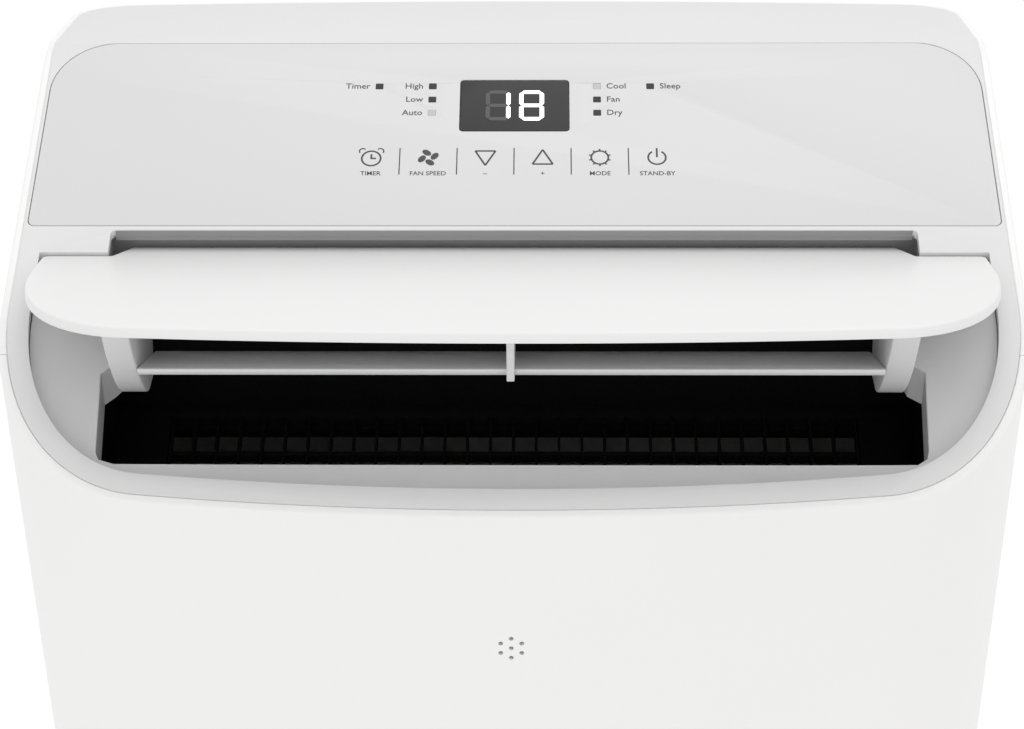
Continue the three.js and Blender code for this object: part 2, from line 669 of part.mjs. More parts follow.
function flap() {
  const plate = slopingBand(-bodyWidth, bodyWidth, -bodyDepth, rearY, flapSink, flapSink + flapDepth);
  const half = notchHalfWidth - flapGap;
  const tabFront = flapRearY - 10;
  const tabRear = flapRearY + flapTabLength * Math.cos(slope);
  const tab = upward(polygon([[-half, tabFront], [half, tabFront], [half, flapRearY],
    [half - flapTabTaper, tabRear], [-half + flapTabTaper, tabRear], [-half, flapRearY]]),
  casingBottom, bodyHeight);
  let closed = flapOutline().add(tab).intersect(plate);
  for (const side of [-1, 1]) {
    const x = side * (notchHalfWidth - 8);
    const lug = barX(x - lugThickness / 2, x + lugThickness / 2, pivotY, pivotZ, lugRadius, 24)
      .add(slopingBand(x - lugThickness / 2, x + lugThickness / 2, pivotY - 10, pivotY + 3, flapSink + 1,
        pivotDrop + 2));
    closed = closed.add(lug)
      .subtract(barX(x - lugThickness, x + lugThickness, pivotY, pivotZ, pinRadius + pinClearance, 16));
  }
  return turnedAboutX(closed, pivotY, pivotZ, -flapOpenDeg);
}

// The arms hang under the open flap and carry the blade.
const flapTilt = rad(topSlopeDeg - flapOpenDeg);
const bladeY = pivotY - bladeAhead;
const bladeZ = pivotZ - bladeDrop;
const tilt = rad(-bladeTiltDeg);
const along = (distance, lift) => [
  bladeY - distance * Math.cos(tilt) + lift * Math.sin(tilt),
  bladeZ - distance * Math.sin(tilt) + lift * Math.cos(tilt),
];
const flapUnderside = (y) => {
  const rearEdge = turnPoint(flapRearY, flapRearZ - flapSink - flapDepth);
  return rearEdge[1] + (y - rearEdge[0]) * Math.tan(flapTilt);
};
function turnPoint(y, z) {
  const angle = rad(-flapOpenDeg);
  const dy = y - pivotY;
  const dz = z - pivotZ;
  const y1 = pivotY + dy * Math.cos(angle) - dz * Math.sin(angle);
  const z1 = pivotZ + dy * Math.sin(angle) + dz * Math.cos(angle);
  return [y1, z1];
}

const armFront = 29; // ahead of the blade's middle
const armRear = 24; // and behind it
const armRound = 12;
function arm(side) {
  const inner = side * (armOuterX - armThickness);
  const outer = side * armOuterX;
  const endY = bladeY + 4;
  const endZ = bladeZ - 2.4;
  const topFront = bladeY - armFront;
  const topRear = bladeY + armRear;
  const bottom = endZ - armRound;
  const shape = new THREE.Shape();
  shape.moveTo(topFront, flapUnderside(topFront) - gap);
  shape.bezierCurveTo(topFront + 3, flapUnderside(topFront) - armRound * 1.4,
    endY - armRound * 1.1, bottom, endY - 2, bottom);
  shape.lineTo(endY + armRound / 2, bottom);
  shape.quadraticCurveTo(endY + armRound, bottom, endY + armRound, endZ - armRound / 2);
  shape.lineTo(topRear, flapUnderside(topRear) - gap);
  return alongX(shape, Math.min(inner, outer), Math.max(inner, outer));
}

function blade() {
  const half = armOuterX - armThickness - gap;
  const c = bladeChord / 2;
  const t = bladeThickness / 2;
  const section = polygon([along(-c, -t), along(-c, t), along(0, t + 0.6), along(c, t + 1),
    along(c + 1.2, 0), along(c, -t - 1), along(0, -t)].map(([y, z]) => [y, z]));
  const ribFront = bladeY - 24;
  const ribRear = bladeY + 8;
  const rib = polygon([[ribFront, bladeZ + 6], [ribFront, flapUnderside(ribFront) - gap],
    [ribRear, flapUnderside(ribRear) - gap], [ribRear, bladeZ - 4]].reverse());
  return orient(section, -half, half).add(orient(rib, -centreRibThickness / 2, centreRibThickness / 2));
}

// Extrudes a (y, z) outline along X whichever way round its points run.
function orient(shape, x0, x1) {
  const points = shape.getPoints();
  if (THREE.ShapeUtils.isClockWise(points)) points.reverse();
  return alongX(new THREE.Shape(points), x0, x1);
}

const pinInnerX = notchHalfWidth - 14;
const pinOuterX = notchHalfWidth + bowlWall + gap + 2;
const pin = (side) => {
  const [x0, x1] = side > 0 ? [pinInnerX, pinOuterX] : [-pinOuterX, -pinInnerX];
  return barX(x0, x1, pivotY, pivotZ, pinRadius, 16);
};
const motorRadius = 12;
function louvreMotor() {
  const x1 = -pinOuterX - gap;
  const y = pivotY + 6;
  const z = pivotZ - 10;
  return barX(x1 - 20, x1 - 1, y, z, motorRadius, 32)
    .add(barX(x1 - 2, x1, pivotY, pivotZ, pinRadius + 1, 16));
}

add('louvre_flap', flap(), flapWhite);
add('louvre_arm_left', arm(-1), flapWhite);
add('louvre_arm_right', arm(1), flapWhite);
add('louvre_blade', blade(), bowlGrey);
add('louvre_pin_left', pin(-1), steel);
add('louvre_pin_right', pin(1), steel);
add('louvre_motor', louvreMotor(), steel);

// ---------------------------------------------------------------- remote receiver behind its holes
add('ir_receiver', box(-9, 9, frontY + casingWall + gap, frontY + casingWall + 11,
  receiverHeight - 9, receiverHeight + 9).add(barY(0, frontY + casingWall + 10,
  frontY + casingWall + 14, receiverHeight, 5, 20)), darkPlastic);

// ---------------------------------------------------------------- base pan and casters
const casterPlaces = [
  [-casterX, casterFrontY], [casterX, casterFrontY], [-casterX, casterRearY], [casterX, casterRearY],
];
const forkPlateZ = 2 * wheelRadius + 1.4;

function basePan() {
  const rim = upward(planOutline(coverInset), basePlateZ, basePlateZ + basePanRim, 4);
  const hollow = upward(planOutline(coverInset + basePanWall), basePlateZ + basePanWall,
    basePlateZ + basePanRim + 1, 4);
  let pan = rim.subtract(hollow);
  for (const [x, y] of casterPlaces) {
    pan = pan
      .add(barZ(x, y, basePlateZ, basePlateZ + 18, stemRadius + 5, 16))
      .subtract(barZ(x, y, basePlateZ - 1, basePlateZ + 19, stemRadius + gap, 16));
  }
  return pan.subtract(barY(lowerDrain.x, 0, rearY, lowerDrain.z, 6, 20));
}
add('base_pan', basePan(), darkPlastic);

function casterFork(x, y) {
  const wheelY = y + casterTrail;
  const inner = wheelWidth / 2 + gap * 2;
  let fork = barZ(x, y + casterTrail / 2, forkPlateZ, forkPlateZ + forkSheet + 0.6, 17, 20)
    .add(barZ(x, y, forkPlateZ, basePlateZ + 15, stemRadius, 12))
    .add(barX(x - inner - forkSheet, x + inner + forkSheet, wheelY, wheelRadius, pinRadius, 10));
  const cheek = new THREE.Shape();
  cheek.absarc(wheelY, wheelRadius, 7, Math.PI, 0, false);
  cheek.lineTo(y + 14, forkPlateZ + 1);
  cheek.lineTo(y - 5, forkPlateZ + 1);
  for (const side of [-1, 1]) {
    const x0 = x + (side > 0 ? inner : -inner - forkSheet);
    fork = fork.add(orient(cheek, x0, x0 + forkSheet));
  }
  return fork;
}

function casterWheel(x, y) {
  const half = wheelWidth / 2;
  const bore = pinRadius + pinClearance;
  const edge = 2.5;
  const profile = [[bore, -half], [wheelRadius - edge, -half], [wheelRadius, -half + edge],
    [wheelRadius, half - edge], [wheelRadius - edge, half], [bore, half], [bore, -half]];
  const wheel = new THREE.LatheGeometry(profile.map(([r, h]) => new THREE.Vector2(r, h)), 24);
  return solid(wheel.rotateZ(-Math.PI / 2).translate(x, y + casterTrail, wheelRadius));
}

const casterNames = ['front_left', 'front_right', 'rear_left', 'rear_right'];
casterPlaces.forEach(([x, y], i) => {
  add(`caster_fork_${casterNames[i]}`, casterFork(x, y), steel);
  add(`caster_wheel_${casterNames[i]}`, casterWheel(x, y), rubber);
});

// ---------------------------------------------------------------- coils
const coilRearY = rearY - coilGapToRear;
const coilFrontY = coilRearY - coilDepth;
const coilHalf = coilWidth / 2;
function coil(bottom, height) {
  const bends = 2;
  const tubeRadius = 4;
  const reach = 12;
  let made = box(-coilHalf, coilHalf, coilFrontY, coilRearY, bottom, bottom + height);
  for (let i = 0; i < bends; i += 1) {
    const z = bottom + (height * (i + 0.5)) / bends;
    const bend = barX(-coilHalf - reach, coilHalf + reach, coilFrontY + 8, z - 10, tubeRadius, 6)
      .add(barX(-coilHalf - reach, coilHalf + reach, coilFrontY + 8, z + 10, tubeRadius, 6))
      .add(barZ(-coilHalf - reach + tubeRadius, coilFrontY + 8, z - 10, z + 10, tubeRadius, 6))
      .add(barZ(coilHalf + reach - tubeRadius, coilFrontY + 8, z - 10, z + 10, tubeRadius, 6));
    made = made.add(bend);
  }
  return made;
}
add('condenser_coil', coil(condenserBottom, condenserHeight), finAluminium);
add('evaporator_coil', coil(evaporatorBottom, evaporatorHeight), finAluminium);

function dripTray() {
  const z = evaporatorBottom - 16;
  const wall = 2;
  const [x, y0, y1] = [coilHalf + 18, coilFrontY - 18, coilRearY + 12];
  return box(-x, x, y0, y1, z, z + 14)
    .subtract(box(-x + wall, x - wall, y0 + wall, y1 - wall, z + wall, z + 20))
    .add(barY(upperDrain.x, y1 - wall / 2, rearY - 22, upperDrain.z + 26, 6, 20)
      .subtract(barY(upperDrain.x, y1 + 1, rearY, upperDrain.z + 26, 4, 16)));
}
add('drip_tray', dripTray(), foamWhite);

// ---------------------------------------------------------------- blowers: wheel, scroll and motor
// A drum wheel on an axis along Y: back plate, front ring, blades between them, and a bored hub.
function blowerWheel(x, z, y0, y1, radius, shaft) {
  const plate = 2;
  const depth = y1 - y0;
  const bladeInner = radius * 0.78;
  let wheel = barY(x, y0, y0 + plate, z, radius, 28)
    .add(barY(x, y1 - plate, y1, z, radius, 28).subtract(barY(x, y1 - 2 * plate, y1 + plate, z, bladeInner)))
    .add(barY(x, y0, y0 + depth * 0.45, z, shaft + 7, 16));
  for (let i = 0; i < wheelBlades; i += 1) {
    const angle = (i / wheelBlades) * Math.PI * 2;
    const blade = new THREE.BoxGeometry(radius - bladeInner - 1, depth - plate, 1.6)
      .rotateY(rad(35)).translate((radius + bladeInner) / 2, 0, 0).rotateY(angle)
      .translate(x, (y0 + y1) / 2, z);
    wheel = wheel.add(solid(blade));
  }
  return wheel.subtract(barY(x, y0 - 1, y1 + 1, z, shaft + gap, 12));
}

const shaftRadius = 4;

const evapWheelDepth = 54;
const condWheelDepth = 46;
const evapWheelFront = frontY + 51;
const condWheelFront = rearY - 141;
const evapWheel = { x: 0, z: evaporatorBottom - 30, y0: evapWheelFront, y1: evapWheelFront + evapWheelDepth };
const evapScroll = { y0: evapWheel.y0 - 9, y1: evapWheel.y1 + 8 };
const condWheel = { x: 66, z: 205, y0: condWheelFront, y1: condWheelFront + condWheelDepth };
const condScroll = { y0: condWheel.y0 - 8, y1: condWheel.y1 + 8 };

function blowerCase(wheel, limits, radius, topZ) {
  const wall = 2.4;
  const round = radius * 1.22;
  const outer = barY(wheel.x, limits.y0, limits.y1, wheel.z, round + wall, 36)
    .add(box(wheel.x - round - wall, wheel.x + round + wall, limits.y0, limits.y1, wheel.z, topZ));
  const inner = barY(wheel.x, limits.y0 + wall, limits.y1 - wall, wheel.z, round, 36)
    .add(box(wheel.x - round, wheel.x + round, limits.y0 + wall, limits.y1 - wall, wheel.z, topZ + 1));
  return { outer, inner, intake: barY(wheel.x, limits.y1 - wall * 2, limits.y1 + 1, wheel.z, radius * 0.74),
    shaftHole: barY(wheel.x, limits.y0 - 1, limits.y0 + wall * 2, wheel.z, shaftRadius + 3, 20) };
}

const evapTop = slopeZ(evapScroll.y0) - guardDrop - guardThickness - 14 - 2 * gap;
function evaporatorScroll() {
  const parts = blowerCase(evapWheel, evapScroll, evaporatorWheelRadius, evapTop);
  return parts.outer.subtract(parts.inner).subtract(parts.intake).subtract(parts.shaftHole);
}
add('evaporator_scroll', evaporatorScroll(), darkPlastic);
add('evaporator_blower_wheel', blowerWheel(evapWheel.x, evapWheel.z, evapWheel.y0, evapWheel.y1,
  evaporatorWheelRadius, shaftRadius), black);

const exhaustTop = exhaustZ + exhaustBoreRadius + 8;
const exhaustBackY = rearY - exhaustCollarLength - gap;
function condenserScroll() {
  const wall = 2.4;
  const parts = blowerCase(condWheel, condScroll, condenserWheelRadius, exhaustTop);
  const half = exhaustBoreRadius + 8;
  const left = exhaustX - half;
  const right = exhaustX + half;
  const front = condScroll.y0;
  const head = box(left, right, front, exhaustBackY, exhaustZ - half, exhaustTop + wall);
  const headHollow = box(left + wall, right - wall, front + wall, exhaustBackY - wall,
    exhaustZ - half + wall, exhaustTop);
  const reach = condenserWheelRadius * 1.22 + wall;
  const cap = box(condWheel.x - reach, condWheel.x + reach, front, condScroll.y1,
    exhaustTop, exhaustTop + wall);
  const overCap = box(-bodyWidth, bodyWidth, -bodyDepth, bodyDepth, exhaustTop, bodyHeight);
  return parts.outer.add(head).add(cap)
    .subtract(parts.inner.subtract(overCap))
    .subtract(headHollow)
    .subtract(parts.intake)
    .subtract(parts.shaftHole)
    .subtract(barY(exhaustX, exhaustBackY - wall * 2, exhaustBackY + 1, exhaustZ, exhaustBoreRadius, 36));
}
add('condenser_scroll', condenserScroll(), foamWhite);
add('condenser_blower_wheel', blowerWheel(condWheel.x, condWheel.z, condWheel.y0, condWheel.y1,
  condenserWheelRadius, shaftRadius), black);

function fanMotor(wheel, caseY0, radius, length) {
  const front = caseY0 - gap;
  return barY(wheel.x, front - length, front, wheel.z, radius, 32)
    .add(barY(wheel.x, front - 1, wheel.y0 + (wheel.y1 - wheel.y0) * 0.45 + 3, wheel.z, shaftRadius, 20));
}
add('evaporator_fan_motor', fanMotor(evapWheel, evapScroll.y0, 42, 30), steel);
add('condenser_fan_motor', fanMotor(condWheel, condScroll.y0, 42, 38), steel);

const collarRadius = exhaustBoreRadius + exhaustCollarWall;
function exhaustCollar() {
  const inner = rearY - exhaustCollarLength;
  return barY(exhaustX, inner, rearY, exhaustZ, collarRadius, 36)
    .subtract(barY(exhaustX, inner - 1, rearY + 1, exhaustZ, exhaustBoreRadius, 36));
}
add('exhaust_collar', exhaustCollar(), darkPlastic);

// ---------------------------------------------------------------- compressor, pipes and electrics
const footZ = basePlateZ + basePanWall + 15;
function compressor() {
  const bottom = footZ;
  const top = bottom + compressorHeight;
  const r = compressorRadius;
  const profile = [[0, bottom], [r - 12, bottom], [r, bottom + 12], [r, top - 22], [r * 0.86, top - 6],
    [r * 0.45, top], [0, top]];
  const shell = solid(new THREE.LatheGeometry(profile.map(([a, b]) => new THREE.Vector2(a, b)), 24)
    .rotateX(Math.PI / 2).translate(compressorX, compressorY, 0));
  const tankX = compressorX - 20;
  const tankY = compressorY + r + 20;
  const bracket = box(tankX - 4, tankX + 4, compressorY + 30, tankY - 10, bottom + 60, bottom + 66);
  const accumulator = barZ(tankX, tankY, bottom + 30, bottom + 140, 17, 16).add(bracket);
  return shell.add(footPlate()).add(accumulator);
}
const footReach = compressorRadius + 16;
const footAngles = [90, 210, 330].map(rad);
const footCentre = (angle) => [
  compressorX + footReach * Math.cos(angle), compressorY + footReach * Math.sin(angle),
];
function footPlate() {
  const corners = footAngles.map(footCentre).map(([x, y]) => barZ(x, y, footZ, footZ + 3, 13, 20));
  const middle = upward(polygon(footAngles.map(footCentre)), footZ, footZ + 3);
  return corners.reduce((all, corner) => all.add(corner), middle);
}
add('compressor', compressor(), paintedBlack);
footAngles.forEach((angle, i) => {
  const [x, y] = footCentre(angle);
  add(`compressor_grommet_${i + 1}`, barZ(x, y, basePlateZ + basePanWall + gap, footZ - gap, 10, 20), rubber);
});

const pipeX = -bodyWidth / 2 + casingWall + 14;
const coilMouthX = -coilHalf - 12 - gap;
const compressorTop = footZ + compressorHeight;
add('suction_pipe', pipe([
  [compressorX - 14, compressorY, compressorTop + gap], [compressorX - 16, compressorY, compressorTop + 34],
  [pipeX + 20, compressorY + 24, compressorTop + 60], [pipeX, compressorY + 60, compressorTop + 90],
  [pipeX, coilFrontY - 20, evaporatorBottom - 50], [pipeX, coilFrontY + 8, evaporatorBottom + 4],
], 6), copper);
add('discharge_pipe', pipe([
  [compressorX + 16, compressorY, compressorTop + 1.5], [compressorX + 16, compressorY, compressorTop + 18],
  [compressorX, compressorY + 50, compressorTop + 36], [pipeX + 14, coilFrontY - 34, compressorTop + 20],
  [pipeX + 2, coilFrontY + 2, compressorTop - 10],
], 4.5), copper);
add('capillary_tube', pipe([
  [pipeX + 4, coilRearY + 4, condenserBottom + 24], [pipeX + 2, coilRearY + 8, 200],
  [pipeX + 2, coilRearY + 10, 360], [pipeX + 4, coilRearY + 8, evaporatorBottom + 30],
], 1.8), copper);

const electricalBox = { x0: 66, x1: 176, y0: frontY + 45, y1: frontY + 119, z0: 86, z1: 250 };
function electricalCase() {
  const { x0, x1, y0, y1, z0, z1 } = electricalBox;
  const wall = 2;
  return box(x0, x1, y0, y1, z0, z1)
    .subtract(box(x0 + wall, x1 - wall, y0 + wall, y1 - wall, z0 + wall, z1 + 1));
}
add('electrical_box', electricalCase(), foamWhite);
add('run_capacitor', barZ(20, frontY + 53, 90, 168, 19, 28), finAluminium);

const splash = { x: -96, z: basePlateZ + 34, y: condScroll.y1 + 10, radius: 24, shaft: 2.4 };
function splashMotor() {
  return barY(splash.x, splash.y - 42, splash.y - gap * 2, splash.z, 15, 24)
    .add(barY(splash.x, splash.y - 2, splash.y + 5, splash.z, splash.shaft, 12));
}
add('splash_wheel', barY(splash.x, splash.y, splash.y + 3, splash.z, splash.radius, 32)
  .subtract(barY(splash.x, splash.y - 1, splash.y + 4, splash.z, splash.shaft + 0.6, 12)), foamWhite);
add('splash_motor', splashMotor(), steel);

const floatX = bodyWidth / 2 - 48.5;
add('float_switch', barZ(floatX, 10, basePlateZ + basePanWall + 6, basePlateZ + 24, 9, 20)
  .add(barZ(floatX, 10, basePlateZ + 20, basePlateZ + 54, 2.5, 12)), foamWhite);

// ---------------------------------------------------------------- rear details
function rearFilter() {
  const y1 = rearY - rearCrown * 2 - 4;
  const rim = 9;
  let filter = box(upperIntake.x0, upperIntake.x1, y1 - 4, y1, upperIntake.z0, upperIntake.z1);
  const columns = 4;
  const width = (upperIntake.x1 - upperIntake.x0 - rim) / columns;
  for (let i = 0; i < columns; i += 1) {
    const left = upperIntake.x0 + rim + i * width;
    filter = filter.subtract(box(left, left + width - rim, y1 - 5, y1 + 1, upperIntake.z0 + rim,
      upperIntake.z1 - rim));
  }
  return filter;
}
add('air_filter', rearFilter(), darkPlastic);
const cap = ({ x, z }) => barY(x, rearY - casingWall + gap / 2, rearY - gap / 2, z, drainCapRadius)
  .add(barY(x, rearY - 17, rearY - 1, z, 3.4, 12));
add('drain_cap_upper', cap(upperDrain), rubber);
add('drain_cap_lower', cap(lowerDrain), rubber);
add('cord_gland', barY(cordGland.x, rearY - 20, rearY - gap / 2, cordGland.z, cordGland.radius)
  .subtract(barY(cordGland.x, rearY - 23, rearY + 1, cordGland.z, 4, 16)), rubber);

export default unit;
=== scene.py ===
import json
import math

import bmesh
import bpy
from mathutils import Matrix, Vector


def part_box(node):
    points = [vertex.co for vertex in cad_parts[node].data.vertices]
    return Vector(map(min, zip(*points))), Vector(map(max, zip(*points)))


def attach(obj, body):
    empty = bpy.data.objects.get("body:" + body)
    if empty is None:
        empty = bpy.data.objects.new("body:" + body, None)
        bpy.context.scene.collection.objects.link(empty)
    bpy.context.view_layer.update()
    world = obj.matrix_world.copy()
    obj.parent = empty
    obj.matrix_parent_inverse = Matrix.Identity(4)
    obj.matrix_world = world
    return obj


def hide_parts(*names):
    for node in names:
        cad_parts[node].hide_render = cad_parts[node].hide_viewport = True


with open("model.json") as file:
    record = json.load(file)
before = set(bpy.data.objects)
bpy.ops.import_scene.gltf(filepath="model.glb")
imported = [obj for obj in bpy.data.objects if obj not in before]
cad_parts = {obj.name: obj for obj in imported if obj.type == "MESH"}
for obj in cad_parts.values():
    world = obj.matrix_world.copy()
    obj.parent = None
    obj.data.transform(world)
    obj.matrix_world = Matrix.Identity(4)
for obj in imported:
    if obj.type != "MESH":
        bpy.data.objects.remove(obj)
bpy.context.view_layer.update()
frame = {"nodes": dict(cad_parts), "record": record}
nodes = frame["nodes"]
slotOfNode = {s["node"]: s["material_slot"] for s in frame["record"]["subparts"]}
print("frame loaded,", len(nodes), "nodes")

mm = 0.001

# body sizes come from the frame's own boxes
casingLow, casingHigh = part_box("rear_casing")
frontLow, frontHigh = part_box("front_casing")
body = {
    "width": 2 * casingHigh.x,
    "frontY": frontLow.y,
    "rearY": casingHigh.y,
    "ridge": casingHigh.z,
    "bottom": casingLow.z,
    "seam": (frontHigh.y + casingLow.y) / 2,
    "wall": 3.6 * mm,
    "gap": 0.4 * mm,
    "ridgeToRear": 90.6 * mm,
    "slope": math.radians(22.5),
    "rearSlope": math.radians(11),
    "cornerWidth": 66 * mm,
    "cornerDepth": 90 * mm,
    "rearRadius": 28 * mm,
    "frontCrown": 6.5 * mm,
    "rearCrown": 8 * mm,
}
ridgeY = body["rearY"] - body["ridgeToRear"]
slope = body["slope"]
panelLength = 107.1 * mm
panelLowY = ridgeY - panelLength * math.cos(slope)
panelLowZ = body["ridge"] - panelLength * math.sin(slope)
coverInset = body["wall"] + body["gap"]
recessInset = coverInset + 8.5 * mm
ledgeY = panelLowY - 14.7 * mm * math.cos(slope)
flapRearY = ledgeY - 5.9 * mm
pinLow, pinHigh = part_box("louvre_pin_left")
pivot = Vector((0, (pinLow.y + pinHigh.y) / 2, (pinLow.z + pinHigh.z) / 2))


def slopeZ(y):
    return body["ridge"] + (y - ridgeY) * math.tan(slope)


def topZ(y):
    if y <= ridgeY:
        return slopeZ(y)
    return body["ridge"] - (y - ridgeY) * math.tan(body["rearSlope"])


# a point laid on the sloping top: across, up the slope from the panel's lower edge, and above it
def slopePoint(x, s, n=0.0):
    y = panelLowY + s * math.cos(slope) - n * math.sin(slope)
    z = panelLowZ + s * math.sin(slope) + n * math.cos(slope)
    return (x, y, z)


def bezierPoints(a, b, c, d, steps):
    points = []
    for i in range(1, steps + 1):
        t = i / steps
        u = 1 - t
        points.append(tuple(u ** 3 * a[k] + 3 * u * u * t * b[k] + 3 * u * t * t * c[k] + t ** 3 * d[k]
                            for k in range(2)))
    return points


def archPoints(a, b, c, steps):
    points = []
    for i in range(1, steps + 1):
        t = i / steps
        u = 1 - t
        points.append(tuple(u * u * a[k] + 2 * u * t * b[k] + t * t * c[k] for k in range(2)))
    return points


# half of the casing's plan, from the middle of the front round the right side to the middle of the rear
def planHalf(inset, cornerSteps=22, archSteps=14):
    half = body["width"] / 2 - inset
    front = body["frontY"] + inset
    rear = body["rearY"] - inset
    wide = body["cornerWidth"] - inset
    deep = body["cornerDepth"] - inset
    small = max(body["rearRadius"] - inset, 2 * mm)
    frontHalf = half - wide
    rearHalf = half - small
    crown = body["frontCrown"]
    rearCrown = body["rearCrown"]
    lean = 2 * crown / frontHalf
    rearLean = 2 * rearCrown / rearHalf
    pull = 0.5523
    sideFront = front + crown + deep
    sideRear = rear - rearCrown - small
    arch = [(-frontHalf, front + crown)] + archPoints(
        (-frontHalf, front + crown), (0, front - crown), (frontHalf, front + crown), 2 * archSteps)
    front1 = arch[archSteps:]
    corner = bezierPoints((frontHalf, front + crown),
                          (frontHalf + pull * wide, front + crown + pull * wide * lean),
                          (half, sideFront - pull * deep), (half, sideFront), cornerSteps)
    sides = [(half, sideFront + (sideRear - sideFront) * i / 12) for i in range(1, 13)]
    rearCorner = bezierPoints((half, sideRear), (half, sideRear + pull * small),
                              (rearHalf + pull * small, rear - rearCrown - pull * small * rearLean),
                              (rearHalf, rear - rearCrown), 12)
    back = archPoints((rearHalf, rear - rearCrown), (0, rear + rearCrown), (-rearHalf, rear - rearCrown),
                      2 * archSteps)[:archSteps]
    return {"front": front1 + corner, "side": sides, "rear": rearCorner + back}


def mirrored(points):
    return [(-x, y) for x, y in reversed(points)]


# the whole plan, anticlockwise from above
def planLoop(inset):
    half = planHalf(inset)
    right = half["front"] + half["side"] + half["rear"]
    return right + mirrored(right)[1:-1]


# the plan's front part, up to the line y = rearLimit on the straight sides
def planFront(inset, rearLimit):
    half = planHalf(inset)
    limit = [(x, y) for x, y in half["side"] if y < rearLimit - 0.5 * mm]
    right = half["front"] + limit + [(body["width"] / 2 - inset, rearLimit)]
    return mirrored(right)[:-1] + right


def addObject(name, data):
    thing = bpy.data.objects.new(name, data)
    bpy.context.scene.collection.objects.link(thing)
    return thing


def makeObject(name, verts, faces):
    mesh = bpy.data.meshes.new(name)
    mesh.from_pydata([tuple(v) for v in verts], [], faces)
    mesh.validate()
    return addObject(name, mesh)


def outward(thing, merge=1e-6):
    work = bmesh.new()
    work.from_mesh(thing.data)
    bmesh.ops.remove_doubles(work, verts=work.verts, dist=merge)
    bmesh.ops.recalc_face_normals(work, faces=work.faces)
    work.to_mesh(thing.data)
    work.free()
    return thing


def shadeByAngle(thing, degrees=32):
    for polygon in thing.data.polygons:
        polygon.use_smooth = True
    thing.data.set_sharp_from_angle(angle=math.radians(degrees))
    return thing


def evaluatedMesh(thing):
    bpy.context.view_layer.update()
    depsgraph = bpy.context.evaluated_depsgraph_get()
    return bpy.data.meshes.new_from_object(thing.evaluated_get(depsgraph))


# takes the object's modifiers into its mesh
def settle(thing):
    mesh = evaluatedMesh(thing)
    old = thing.data
    thing.modifiers.clear()
    thing.data = mesh
    bpy.data.meshes.remove(old)
    mesh.name = thing.name
    return thing


def discard(thing):
    mesh = thing.data
    bpy.data.objects.remove(thing)
    if mesh.users == 0:
        bpy.data.meshes.remove(mesh)


def cut(thing, *tools, operation="DIFFERENCE"):
    for tool in tools:
        modifier = thing.modifiers.new("cut", "BOOLEAN")
        modifier.operation = operation
        modifier.solver = "EXACT"
        modifier.object = tool
    settle(thing)
    for tool in tools:
        discard(tool)
    return thing


def softenEdges(thing, width, segments=2, degrees=35, clamp=True):
    modifier = thing.modifiers.new("soft", "BEVEL")
    modifier.width = width
    modifier.segments = segments
    modifier.limit_method = "ANGLE"
    modifier.angle_limit = math.radians(degrees)
    modifier.use_clamp_overlap = clamp
    modifier.miter_outer = "MITER_ARC" if segments > 1 else "MITER_SHARP"
    settle(thing)
    return shadeByAngle(thing)


# a closed solid between two outlines with the same number of points
def solidBetween(name, low, high):
    count = len(low)
    faces = [[i, (i + 1) % count, count + (i + 1) % count, count + i] for i in range(count)]
    faces += [list(range(count))[::-1], list(range(count, 2 * count))]
    return outward(makeObject(name, low + high, faces))


# faces between neighbouring loops of points, and back to the first loop when closed
def skinFaces(loops, closed=True):
    count = len(loops[0])
    faces = []
    for i in range(len(loops) if closed else len(loops) - 1):
        a, b = i * count, ((i + 1) % len(loops)) * count
        for k in range(count):
            n = (k + 1) % count
            faces.append([a + k, a + n, b + n, b + k])
    return faces


# points along an arc, with angles in degrees
def arcAbout(cx, cy, radius, start, turn, steps):
    angles = [math.radians(start + turn * i / steps) for i in range(steps + 1)]
    return [(cx + radius * math.cos(a), cy + radius * math.sin(a)) for a in angles]


# a solid from a plan outline, between two heights that may depend on the place
def prism(name, outline, lowZ, highZ):
    low = [(x, y, lowZ(y) if callable(lowZ) else lowZ) for x, y in outline]
    high = [(x, y, highZ(y) if callable(highZ) else highZ) for x, y in outline]
    return solidBetween(name, low, high)


# a solid from an outline of (y, z) pushed along X, or (x, z) along Y
def pushX(name, outline, x0, x1):
    return solidBetween(name, [(x0, y, z) for y, z in outline], [(x1, y, z) for y, z in outline])


def pushY(name, outline, y0, y1):
    thing = pushX(name, [(x, z) for x, z in outline], y0, y1)
    for v in thing.data.vertices:
        v.co = (v.co.y, v.co.x, v.co.z)
    return outward(thing)


def blockOutline(x0, x1, y0, y1, radius=0.0, steps=6):
    if radius <= 0:
        return [(x0, y0), (x1, y0), (x1, y1), (x0, y1)]
    points = []
    for cx, cy, start in ((x1 - radius, y0 + radius, -90), (x1 - radius, y1 - radius, 0),
                          (x0 + radius, y1 - radius, 90), (x0 + radius, y0 + radius, 180)):
        points += arcAbout(cx, cy, radius, start, 90, steps)
    return points


def block(name, x0, x1, y0, y1, z0, z1):
    return prism(name, blockOutline(x0, x1, y0, y1), z0, z1)


def ring(centreA, centreB, radius, sides, phase=0.0):
    return [(centreA + radius * math.cos(2 * math.pi * i / sides + phase),
             centreB + radius * math.sin(2 * math.pi * i / sides + phase)) for i in range(sides)]


def slabOnSlope(name, outline, n0, n1):
    return solidBetween(name, [slopePoint(x, s, n0) for x, s in outline],
                        [slopePoint(x, s, n1) for x, s in outline])


